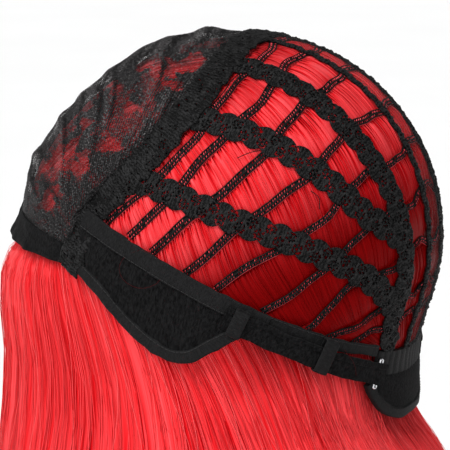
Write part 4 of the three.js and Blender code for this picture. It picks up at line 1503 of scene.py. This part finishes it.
def lace_density(u, run):
    """One in the closed flowers, near zero in the open windows of net."""
    along = np.abs(u - 0.5) + 0.5
    flowers = ridges(*run.shape, *LACE_FLOWER_SCALE)
    density = lerp(LACE_GROUND_DENSITY, 1, ease(flowers, *LACE_FLOWERS))
    islands = LACE_OPEN_DENSITY + LACE_ISLAND_DENSITY * ease(flowers, *LACE_ISLANDS)
    for k, (at, up, half_along, half_up, tilt) in enumerate(LACE_WINDOWS):
        x = (along - at) * LACE_LENGTH
        y = run - up
        growth = lerp(LACE_LOW_GROWTH, LACE_WINDOW_GROWTH, ease(up, *LACE_LOW_END))
        a = (x * math.cos(tilt) + y * math.sin(tilt)) / (half_along * growth)
        b = (y * math.cos(tilt) - x * math.sin(tilt)) / (half_up * growth)
        edge = LACE_WINDOW_EDGE
        for size, lobes, phase in LACE_WINDOW_LOBES:
            edge = edge + size * np.cos(lobes * np.arctan2(b, a) + phase * k)
        density = lerp(density, islands, 1 - ease(np.hypot(a, b) / edge, *LACE_WINDOW_RIM))
    for at, up, half_along, half_up in LACE_THIN_PATCHES:
        reach = np.hypot((along - at) * LACE_LENGTH / half_along, (run - up) / half_up)
        density = np.minimum(density, lerp(LACE_THIN_DENSITY, 1, ease(reach, *LACE_THIN_RIM)))
    from_edge = np.minimum(run, run[:, -1:] - run)
    return np.maximum(density, 1 - ease(from_edge, *LACE_CLOSED_EDGE))


def random_wave(u, turns):
    return np.sin(2 * math.pi * (u * rng.uniform(*turns) + rng.uniform()))


def lace_folds(u, v):
    """Height of the wrinkles that run along the seam, and how sharp they are."""
    height = 0 * (u + v)
    sharp = 0 * (u + v)
    for _ in range(LACE_FOLDS):
        sway = LACE_FOLD_SWAY * random_wave(u, LACE_FOLD_SWAY_TURNS)
        middle = rng.uniform(*LACE_FOLD_PLACES) + sway
        size = rng.uniform(*LACE_FOLD_SIZES)
        part = 0.5 + 0.5 * random_wave(u, LACE_FOLD_PARTS)
        height = height + rng.uniform(*LACE_FOLD_HEIGHTS) * part * bell(v, middle, size)
        sharp = np.maximum(sharp, part * bell(v, middle + size, LACE_CREASE_SIZE * size))
    crinkle = np.sin(u * LACE_CRINKLE_ALONG[0] + v * LACE_CRINKLE_ALONG[1])
    crinkle = crinkle * np.sin(v * LACE_CRINKLE_UP[0] + u * LACE_CRINKLE_UP[1])
    return height + LACE_CRINKLE * crinkle, sharp


def add_front_lace():
    u, v = grid(*LACE_STEPS)
    u = lerp(-LACE_TUCK, 1 + LACE_TUCK, u)
    front = beside(front_band_path, u, front_band_width(u) / 2 - LACE_FRONT_LAP)
    back = beside(seam_path, u, -SEAM_WIDTH / 2 + LACE_BACK_LAP)
    line = seat(front * (1 - v)[..., None] + back * v[..., None])
    run = run_along(line, 1)
    fold, sharp = lace_folds(u, v)
    from_middle = np.abs(u - 0.5)
    stand = LACE_STAND * smooth((LACE_STAND_HALF - from_middle) / LACE_STAND_FADE)
    stand = stand * hump(v) ** LACE_STAND_POWER
    held = smooth(np.minimum(v, 1 - v) / LACE_HELD_SHARE)
    density = np.maximum(lace_density(u, run), LACE_CREASE_DENSITY * sharp)
    level = LACE_NET_LEVEL + (fold + stand) * held + LACE_FLOWER_HEIGHT * density
    level = level + rng.normal(0, LACE_ROUGHNESS, run.shape)
    points, faces = wall(lift(line, level + LACE_HALF_WALL), lift(line, level - LACE_HALF_WALL))
    flat = flat_map(u * LACE_LENGTH, run, density)
    # Painted light on fold ridges and painted shade in creases, carried by the shade attribute
    inward = smooth((LACE_RIDGE_HALF - from_middle) / LACE_RIDGE_FADE)
    fold_light_and_shade = LACE_RIDGE_LIGHT * np.clip(fold / LACE_RIDGE_FULL, 0, 1) - LACE_CREASE_SHADE * sharp
    fold_light_and_shade = np.tile((inward * fold_light_and_shade).ravel(), 2)
    add_piece("front_net", points, faces, flat, [sheer_lace], "sheer_lace", ["front_lace"], shade=fold_light_and_shade)


# Lace strips and crown seam
def scallop(s, phase):
    lobes = np.abs(np.sin(math.pi * (s / SCALLOP_PERIOD + phase))) ** SCALLOP_POWER
    return SCALLOP_HEIGHT * (lobes - SCALLOP_MIDDLE)


def lace_motifs(s, d):
    """Place of each point in the nearest flower along either edge."""
    found = []
    for edge, phase in ((-1, 0.5), (1, 0)):
        along = (s / SCALLOP_PERIOD - phase) % 1 - 0.5
        found.append((along * SCALLOP_PERIOD, d * edge - FLOWER_OFFSET))
    return found


def lace_holes(s, d):
    hole = np.zeros(np.broadcast(s, d).shape, bool)
    for x, y in lace_motifs(s, d):
        for turn in HOLE_TURNS:
            near = np.hypot(x - HOLE_RING * np.cos(turn), y - HOLE_RING * np.sin(turn))
            hole |= near < HOLE_SIZE
        hole |= np.hypot(x, y) < HOLE_SIZE
    return hole & (rng.uniform(0, 1, hole.shape) > HOLE_MISSING)


def lace_relief(s, d):
    relief = 0 * (s + d)
    for x, y in lace_motifs(s, d):
        reach = np.hypot(x, y)
        petals = 0.5 + 0.5 * np.cos(FLOWER_PETALS * np.arctan2(y, x))
        relief = relief + FLOWER_RIM_HEIGHT * bell(reach, *FLOWER_RIM)
        relief = relief + FLOWER_EYE_HEIGHT * petals * bell(reach, *FLOWER_EYE)
    return relief + rng.normal(0, LACE_FUZZ, relief.shape)


def seam_relief(rows, columns):
    (fine_height, fine), (broad_height, broad) = SEAM_RELIEF
    relief = fine_height * ridges(rows, columns, fine, (columns - 1) // 2)
    return relief + broad_height * ridges(rows, columns, broad, broad)


def lace_strip(
        path, width, tuck=0.0, scallops=1.0, level=LACE_LEVEL, shift=0.0,
        taper=0.0, plain=False, raised=0.0):
    """A strip with scalloped edges and flowers, or a plain ragged one."""
    length, place = strip(path)
    cell = SEAM_CELL if plain else LACE_CELL
    rows = int(length / cell)
    columns = int(width / cell)
    s = np.linspace(0, length, rows + 1)[:, None]
    v = np.linspace(-1, 1, columns + 1)[None, :]
    from_middle = np.abs(2 * s / length - 1)
    narrow = width / 2 * (1 - taper * ease(from_middle, *SEAM_TAPER_END))
    ragged = SEAM_RAGGED * plain * ridges(rows + 1, 2, SEAM_RAGGED_SCALE, 2)
    low = narrow + scallops * scallop(s, 0) + ragged[:, :1]
    high = narrow + scallops * scallop(s, 0.5) + ragged[:, 1:]
    d = np.where(v < 0, v * low, v * high)
    drop = tuck * ease(s, length - TUCK_LENGTH, TUCK_LENGTH) - raised * ease(from_middle, *SEAM_TAIL_END)
    relief = seam_relief(rows + 1, columns + 1) if plain else lace_relief(s, d)
    inner_level, outer_level = level
    fuzz = rng.normal(0, SEAM_FUZZ, d.shape) * plain
    outer = place(s, shift + d, outer_level + relief + fuzz - drop)
    inner = place(s, shift + d, inner_level - drop + 0 * d)
    if plain:
        keep = rng.uniform(0, 1, (rows, columns)) > SEAM_OPEN_CELLS
    else:
        keep = ~lace_holes((s[1:] + s[:-1]) / 2, (d[1:, 1:] + d[:-1, :-1]) / 2)
    keep[:, :1] = True
    keep[:, -1:] = True
    points, faces = masked_wall(outer, inner, keep)
    # Painted light: the tone rises on the raised relief
    return points, faces, flat_map(s, d, LACE_TONE + LACE_RELIEF_LIGHT * relief)


def spine_path(u):
    return row_point(lerp(BAND_FIRST_ROW, SPINE_LAST_ROW, u), 0 * u)


def seam_line(u):
    """Crown seam, with a tail down to the front band's end on both sides."""
    along = 2 * u - 1
    reach = np.abs(along) / (1 - 2 * SEAM_TAIL_SHARE)
    main = row_point(0, SEAM_END * np.sign(along) * np.minimum(reach, 1))
    down = np.clip((np.abs(along) - 1 + 2 * SEAM_TAIL_SHARE) / (2 * SEAM_TAIL_SHARE), -1, 2)
    y = lerp(main[..., 1], SEAM_TAIL[0], down)
    z = lerp(main[..., 2], SEAM_TAIL[1], down)
    return np.where((down > 0)[..., None], side_point(y, z, np.sign(along)), main)


def spine_net():
    length, place = strip(spine_path)
    s = np.linspace(0, length, SPINE_NET_STEPS[0])[:, None]
    d = np.linspace(-SPINE_NET_HALF, SPINE_NET_HALF, SPINE_NET_STEPS[1])[None, :]
    pucker, along, across = SPINE_NET_PUCKER
    level = SPINE_NET_LEVEL + pucker * np.sin(s / along) * np.sin(d / across) - SPINE_NET_CROWN * d ** 2
    points, faces = wall(place(s, d, level + SPINE_NET_WALL), place(s, d, level - SPINE_NET_WALL))
    least, change, period = SPINE_NET_DENSITY
    return points, faces, flat_map(s, d, least + change * np.sin(s / period) * np.sin(d))


def add_lace_strips():
    groups = []
    for shift in (-SPINE_OFFSET, SPINE_OFFSET):
        groups.append((lace_strip(spine_path, SPINE_BORDER, scallops=SPINE_SCALLOPS, shift=shift), 0))
    groups.append((spine_net(), 1))
    add_joined("lace_spine", groups, [black_lace, spine_mesh], "lace", ["spine_band"], None)
    for label, side in SIDES:
        for kind, table, tuck in BANDS:
            def path(u, table=table, side=side):
                row = lerp(table[0, 0], table[-1, 0], u)
                return row_point(row, side * read_table(table, 1, row))

            mesh = lace_strip(path, BAND_WIDTH, tuck)
            add_piece(f"lace_{kind}_{label}", *mesh, [black_lace], "lace", [f"lace_band_{kind}_{label}"])
    mesh = lace_strip(
        seam_line, SEAM_WIDTH, 0, SEAM_SCALLOPS, SEAM_LEVEL,
        taper=SEAM_TAPER, plain=True, raised=SEAM_TAIL_RISE)
    add_piece("lace_seam", *mesh, [black_lace], "lace", ["crown_seam"])


# Wefts
def weft_base(place, s, slim):
    wide = slim * np.array([-WEFT_BASE_HALF_WIDTH, WEFT_BASE_HALF_WIDTH])[None, :]
    inner, outer = (place(s[:, None], wide, level + 0 * wide) for level in WEFT_BASE_LEVEL)
    points, faces = wall(outer, inner)
    return points, faces, flat_map(wide, s[:, None], WEFT_BASE_TONE)


def weft_cord(place, s, slim, offset, thick):
    wander = slim * offset + rng.normal(0, WEFT_CORD_WANDER, len(s))
    line = place(s, wander, WEFT_THREAD_LEVEL + rng.normal(0, WEFT_CORD_LIFT, len(s)))
    return thread_mesh(line, slim * thick, PLAIN_TONE)


def weft_dots(place, length, slim, tone, offset, dot_length, thick):
    """Bits of red hair that show between the cords."""
    at = np.arange(WEFT_DOT_FIRST, length, WEFT_DOT_PITCH)
    at = at + rng.normal(0, WEFT_DOT_SCATTER, len(at))
    at = at[rng.uniform(0, 1, len(at)) > WEFT_DOT_MISSING]
    bits = np.linspace(-0.5, 0.5, 3)[None, :]
    bow = np.cos(math.pi * bits)
    along = at[:, None] + WEFT_DOT_SLANT * bits
    across = slim * (offset + dot_length * bits) + 0 * along
    line = place(along, across, WEFT_THREAD_LEVEL + WEFT_DOT_BOW * bow + 0 * along)
    tones = np.clip(rng.normal(tone, WEFT_DOT_SPREAD, len(at)), 0, 1)
    width = slim * thick * lerp(WEFT_DOT_NARROW, 1, bow)
    return tube_mesh(line, form_normal(seat(line)), width, slim * thick, tones)


def add_wefts():
    for k, row in enumerate(WEFT_ROWS):
        phase = rng.uniform(0, 2 * math.pi, 2)
        low = ease(row, *WEFT_LOW)
        slim = lerp(1, WEFT_LOW_WIDTH, low)
        sway_size = WEFT_SWAY + WEFT_LOW_SWAY * low

        def path(u, row=row, phase=phase, sway_size=sway_size):
            across = WEFT_END * (2 * u - 1)
            sway = sway_size * np.sin(across * WEFT_SWAY_TURNS + phase[0])
            ripple = WEFT_RIPPLE * np.sin(across * WEFT_RIPPLE_TURNS + phase[1])
            return row_point(weft_row(row, across) + (sway + ripple), across)

        length, place = strip(path)
        s = np.arange(0, length, WEFT_STEP)
        groups = [(weft_base(place, s, slim), 0)]
        for offset, thick in WEFT_CORDS:
            groups.append((weft_cord(place, s, slim, offset, thick), 0))
        # Painted shade: the red dots darken toward the nape rows
        tone = WEFT_DOT_TONE - WEFT_DOT_ROW_SHADE * row
        for offset, dot_length, thick in WEFT_DOTS:
            groups.append((weft_dots(place, length, slim, tone, offset, dot_length, thick), 1))
        fold = place(s, slim * WEFT_FOLD_OFFSET + 0 * s, WEFT_FOLD_LEVEL + 0 * s)
        groups.append((thread_mesh(fold, WEFT_FOLD_WIDTH, WEFT_FOLD_TONE), 1))
        add_joined(f"weft_row_{k + 1}", groups, [black_thread, hair_dot], "weft", [f"weft_{k + 1}"], None)


# Cloth around the rim
def ribbon(
        path, width, levels, relief, columns=TAPE_COLUMNS, step=TAPE_STEP,
        shift=0.0, first=0.0, last=1.0, sink=0.0):
    """A folded tape with slightly frayed edges, between two levels."""
    inner, outer = levels
    length, place = strip(path)
    s = np.linspace(first * length, last * length, int((last - first) * length / step) + 1)[:, None]
    v = np.linspace(-0.5, 0.5, columns + 1)[None, :]
    rounded = TAPE_ROUNDING * (outer - inner) * ease(np.abs(v), *TAPE_ROUNDED)
    lower = sink * ease(s / length, *STRAP_SINK_END)
    extra = relief(s, v)
    fray = TAPE_FRAY * ridges(len(s), 2, TAPE_FRAY_SCALE, 2)
    across = shift + width * v + np.where(v < 0, fray[:, :1], fray[:, 1:]) * np.abs(2 * v)
    points, faces = wall(
        place(s, across, outer - rounded - lower + extra), place(s, across, inner - lower + 0 * v))
    return points, faces, flat_map(s, width * v, PLAIN_TONE)


def stitches(path, distance, level, last=1.0):
    length, place = strip(path)
    at = np.arange(STITCH_MARGIN, last * length - STITCH_MARGIN, STITCH_PITCH)
    bits = np.linspace(-0.5, 0.5, 3)[None, :]
    s = at[:, None] + STITCH_LENGTH * bits
    line = place(s, distance + 0 * s, level + STITCH_BOW * np.cos(math.pi * bits) + 0 * s)
    return tube_mesh(line, form_normal(seat(line)), STITCH_WIDTH, STITCH_WIDTH, STITCH_TONE)


def weave(s, v):
    return rng.normal(0, WEAVE_ROUGHNESS, np.broadcast(s, v).shape)


def tilted_weave(s, v):
    return weave(s, v) + WEAVE_TILT * np.sin(s / WEAVE_TILT_LENGTH) * v


def add_velvet(name, line, levels, puff, size, uv, stands_for):
    """A velvet flap, puffed between its edges."""
    u, v = uv
    inner, outer = levels
    nap = rng.normal(0, VELVET_NAP, line.shape[:2])
    points, faces = wall(lift(line, outer + puff + nap), lift(line, inner + 0 * nap))
    flat = flat_map(u * size[0], v * size[1], PLAIN_TONE)
    add_piece(name, points, faces, flat, [black_velvet], "velvet", [stands_for], VELVET_SHARP_ANGLE)


def add_rim_tape(label, side):
    def path(u):
        y = lerp(RIM_FIRST_Y, TAPE_LAST_Y, u)
        return side_point(y, rim_height(y), side)

    wide = ribbon(
        path, TAPE_WIDE, TAPE_WIDE_LEVEL, tilted_weave, shift=-side * TAPE_WIDE_SHIFT, last=TAPE_TAB_END)
    narrow = ribbon(path, TAPE_NARROW, TAPE_NARROW_LEVEL, tilted_weave, first=TAPE_TAB_END - TAPE_LAP)
    groups = [(wide, 0), (narrow, 0)]
    for distance, level, last in TAPE_STITCHES:
        groups.append((stitches(path, side * distance, level, last), 1))
    add_joined(f"rim_band_{label}", groups, [black_tape, edge_thread], "tape", [f"rim_tape_{label}"])


def add_ear_tab(label, side):
    def edge_path(u):
        return side_point(read_table(EAR_TAB_EDGE, 1, u), read_table(EAR_TAB_EDGE, 2, u), side)

    def end_path(u):
        y = lerp(EAR_END_FIRST[0], EAR_END_LAST[0], u)
        return side_point(y, lerp(EAR_END_FIRST[1], EAR_END_LAST[1], u), side)

    shift = side * EAR_HEM_SHIFT
    hem = ribbon(edge_path, EAR_HEM_WIDTH, EAR_HEM_LEVEL, tilted_weave, EAR_HEM_COLUMNS, shift=shift)
    end = ribbon(end_path, EAR_END_WIDTH, EAR_END_LEVEL, tilted_weave)
    groups = [(hem, 0), (end, 0)]
    groups.append((stitches(edge_path, side * EAR_HEM_STITCH[0], EAR_HEM_STITCH[1]), 1))
    groups.append((stitches(end_path, *EAR_END_STITCH), 1))
    add_joined(f"ear_hem_{label}", groups, [black_tape, edge_thread], "tape", [f"ear_tab_binding_{label}"])

    u, v = grid(*EAR_TAB_STEPS)
    low = beside(edge_path, u, side * (BINDING_WIDTH / 2 - EAR_TAB_LAP))
    y = lerp(lerp(EAR_TAB_TOP_FRONT[0], EAR_TAB_TOP_BACK[0], u), low[..., 1], v)
    z = lerp(lerp(EAR_TAB_TOP_FRONT[1], EAR_TAB_TOP_BACK[1], u), low[..., 2], v)
    puff = EAR_TAB_PUFF * hump(v) ** VELVET_PUFF_POWER
    puff = puff + EAR_TAB_WAVE[0] * np.sin(u * EAR_TAB_WAVE[1]) * hump(v)
    line = side_point(y, z, side)
    add_velvet(f"ear_velvet_{label}", line, EAR_TAB_LEVEL, puff, EAR_TAB_SIZE, (u, v), f"ear_tab_{label}")


def add_strap(label, side):
    def path(u):
        y = STRAP_FIRST_Y + STRAP_SPAN * u
        return side_point(y, rim_height(y) - STRAP_DROP - STRAP_SAG * u ** 3, side)

    def long_path(u):
        return path(u * STRAP_OVERHANG)

    def fold(s, v):
        crease = STRAP_CREASE_DEPTH * bell(v * side, *STRAP_CREASE)
        step = STRAP_FOLD_STEP * ease(v * side, *STRAP_FOLD)
        return step - crease + rng.normal(0, STRAP_NAP, np.broadcast(s, v).shape)

    strap = ribbon(long_path, STRAP_WIDTH, STRAP_LEVEL, fold, STRAP_COLUMNS, sink=STRAP_SINK[label])
    add_joined(f"strap_band_{label}", [(strap, 0)], [black_velvet], "velvet", [f"strap_{label}"])
    for kind, forward, slant, extra in KEEPERS:
        mesh = keeper(path, (forward - STRAP_FIRST_Y) / STRAP_SPAN, slant * side, extra, side)
        name = f"keeper_loop_{kind}_{label}"
        stands_for = [f"strap_keeper_{kind}_{label}"]
        add_joined(name, [(mesh, 0)], [black_tape], "tape", stands_for, KEEPER_SHARP_ANGLE)
    mesh = hook_ring(path, (HOOK_Y - STRAP_FIRST_Y) / STRAP_SPAN, HOOK_SHIFT[label], HOOK_LEVEL[label])
    add_joined(f"hook_wire_{label}", [(mesh, 0)], [hook_steel], "steel", [f"strap_hook_{label}"], None)


def rounded_loop(half_width, half_height, corner):
    """Points round a loop with round corners, each with its outward turn."""
    places = []
    for k, (a, b) in enumerate(((1, 1), (-1, 1), (-1, -1), (1, -1))):
        for step in range(LOOP_CORNER_STEPS + 1):
            turn = (k + step / LOOP_CORNER_STEPS) * math.pi / 2
            x = a * (half_width - corner) + corner * math.cos(turn)
            y = b * (half_height - corner) + corner * math.sin(turn)
            places.append((x, y, turn))
    return np.array(places)


def keeper(path, centre, slant, extra, up_side):
    place, forward, side, normal = (x[0] for x in frame_on(path, np.array([centre])))
    loop = rounded_loop(STRAP_WIDTH / 2 + KEEPER_CLEARANCE + extra, KEEPER_HALF_HEIGHT, KEEPER_CORNER)
    sections = []
    for across, up, turn in loop:
        along = KEEPER_PROFILE[:, :1] * KEEPER_LENGTH + slant * across
        out = (KEEPER_PROFILE[:, 1:] - KEEPER_INNER) * KEEPER_WALL
        point = place + forward * along + side * (across + up_side * extra + out * math.cos(turn))
        sections.append(point + normal * (KEEPER_LEVEL + up + out * math.sin(turn)))
    points, faces = ring_mesh(np.array(sections))
    length = KEEPER_PROFILE[None, :, 0] * KEEPER_LENGTH
    return points, faces, flat_map(loop[:, :1], length, PLAIN_TONE, 1)


def hook_ring(path, centre, shift, level):
    place, forward, side, normal = (x[0] for x in frame_on(path, np.array([centre])))
    loop = rounded_loop(*HOOK_LOOP)
    spin = 2 * math.pi * np.arange(HOOK_WIRE_SIDES) / HOOK_WIRE_SIDES
    out = HOOK_WIRE * np.cos(spin)[:, None]
    sections = []
    for x, y, turn in loop:
        point = place + forward * (x + out * math.cos(turn)) + side * (y + shift + out * math.sin(turn))
        sections.append(point + normal * (level + HOOK_WIRE * np.sin(spin)[:, None]))
    points, faces = ring_mesh(np.array(sections))
    return points, faces, flat_map(loop[:, :1], spin[None, :], PLAIN_TONE, 1)


# Nape
def elastic_path(u):
    x = ELASTIC_HALF_LENGTH * (1 - 2 * u)
    return back_point(x, nape_rim_height(x) - ELASTIC_DROP)


def nape_edge_path(u):
    x = NAPE_TAB_HALF_WIDTH * (1 - 2 * u)
    return back_point(x, NAPE_TAB_BOTTOM + NAPE_TAB_RISE * (1 - 2 * u) ** 4)


def elastic_ribs(s, v):
    sway = ELASTIC_RIB_SWAY[0] * np.sin(s / ELASTIC_RIB_SWAY[1])
    return ELASTIC_RIB * np.abs(np.sin(math.pi * s / ELASTIC_RIB_PITCH + sway)) + 0 * v


def add_nape():
    band = ribbon(
        elastic_path, ELASTIC_WIDTH, ELASTIC_LEVEL, elastic_ribs, ELASTIC_COLUMNS, ELASTIC_STEP)
    add_joined("nape_stretch_band", [(band, 0)], [black_tape], "tape", ["nape_elastic"])
    hem = ribbon(nape_edge_path, NAPE_HEM_WIDTH, NAPE_HEM_LEVEL, weave, shift=NAPE_HEM_SHIFT)
    groups = [(hem, 0), (stitches(nape_edge_path, *NAPE_HEM_STITCH), 1)]
    add_joined("nape_hem", groups, [black_tape, black_thread], "tape", ["nape_tab_binding"])
    u, v = grid(*NAPE_TAB_STEPS)
    low = beside(nape_edge_path, u, NAPE_TAB_LAP)
    high = nape_rim_height(low[..., 0]) - ELASTIC_DROP - ELASTIC_WIDTH / 2 + NAPE_TAB_LAP
    line = back_point(low[..., 0] + 0 * v, lerp(high, low[..., 2], v))
    puff = NAPE_TAB_PUFF * hump(v) ** VELVET_PUFF_POWER
    add_velvet("nape_velvet", line, NAPE_TAB_LEVEL, puff, NAPE_TAB_SIZE, (u, v), "nape_tab")


# Loose threads
def smooth_line(places):
    places = np.array(places)
    keys = np.linspace(0, 1, len(places))
    at = np.linspace(0, 1, LOOSE_STEPS)
    return [read_table(np.column_stack([keys, column]), 1, at) for column in places.T]


def add_loose_threads():
    groups = []
    level = LOOSE_BLACK_LEVEL + LOOSE_BLACK_BOW * hump(np.linspace(0, 1, LOOSE_STEPS))
    for places in LOOSE_BLACK:
        line = lift(row_point(*smooth_line(places)), level)
        groups.append((thread_mesh(line, LOOSE_BLACK_WIDTH, PLAIN_TONE), 0))
    for places in LOOSE_RED:
        y, z, level = smooth_line(places)
        line = lift(side_point(y, z, 1), level)
        groups.append((thread_mesh(line, LOOSE_RED_WIDTH, LOOSE_RED_TONE), 1))
    add_joined("loose_threads", groups, [black_thread, hair_red], "hair", (), None)


# Floor, light and camera
def add_floor():
    mesh = bpy.data.meshes.new("floor")
    corners = [(-1, -1), (1, -1), (1, 1), (-1, 1)]
    points = [(FLOOR_HALF * x, FLOOR_HALF * y, FLOOR_HEIGHT) for x, y in corners]
    mesh.from_pydata(points, [], [(0, 1, 2, 3)])
    floor = bpy.data.objects.new("floor", mesh)
    material, tree, shader = start_material("floor", {"Roughness": FLOOR_ROUGHNESS})
    place = Value(tree, make_node(tree, "ShaderNodeTexCoord").outputs["Object"])
    inputs = {"Vector": place, "Scale": FLOOR_GRAIN, "Detail": SOFT_DETAIL}
    grain = Value(tree, make_node(tree, "ShaderNodeTexNoise", inputs).outputs[0])
    feed(ramp(grain, FLOOR_STOPS), shader, "Base Color")
    mesh.materials.append(material)
    bpy.context.scene.collection.objects.link(floor)


def add_lights():
    scene = bpy.context.scene
    world = bpy.data.worlds.new("studio")
    world.use_nodes = True
    background = world.node_tree.nodes["Background"]
    background.inputs["Color"].default_value = (1, 1, 1, 1)
    background.inputs["Strength"].default_value = WORLD_STRENGTH
    scene.world = world
    scene.view_settings.view_transform = "Standard"
    for name, energy, spread, toward in LIGHTS:
        light = bpy.data.lights.new(name, "SUN")
        light.energy = energy
        light.angle = math.radians(spread)
        lamp = bpy.data.objects.new(name, light)
        lamp.rotation_euler = Vector(toward).to_track_quat("Z", "Y").to_euler()
        scene.collection.objects.link(lamp)


def add_camera():
    turn = math.radians(CAMERA_TURN)
    rise = math.radians(CAMERA_RISE)
    back = np.array([math.sin(turn) * math.cos(rise), -math.cos(turn) * math.cos(rise), math.sin(rise)])
    right = np.array([math.cos(turn), math.sin(turn), 0])
    up = np.cross(back, right)
    middle = np.array([0, 0, -SEAT_HEIGHT * MM])
    place = middle + CAMERA_DISTANCE * back + CAMERA_SHIFT[0] * right + CAMERA_SHIFT[1] * up
    camera = bpy.data.objects.new("camera", bpy.data.cameras.new("camera"))
    camera.data.lens = CAMERA_LENS
    camera.data.sensor_width = CAMERA_SENSOR
    pose = Matrix.Identity(4)
    for column, axis in enumerate((right, up, back, place)):
        for row in range(3):
            pose[row][column] = axis[row]
    camera.matrix_world = pose
    bpy.context.scene.collection.objects.link(camera)
    bpy.context.scene.camera = camera


def declare_sheets():
    rows = list(SHEETS)
    for name, width, length, area, held, rests_on, on_it in SIDE_SHEETS:
        for label, _ in SIDES:
            rests = [x if x == "hair_rows" else f"{x}_{label}" for x in rests_on]
            carried = [f"{x}_{label}" for x in on_it]
            rows.append((f"{name}_{label}", width, length, area, held, rests, carried))


add_hair_shell()
add_hair_rows()
add_hair_fall()
add_front_hair()
add_front_band()
add_front_lace()
add_lace_strips()
add_wefts()
for label, side in SIDES:
    add_rim_tape(label, side)
    add_ear_tab(label, side)
    add_strap(label, side)
add_nape()
add_loose_threads()
add_floor()
add_lights()
add_camera()
declare_sheets()
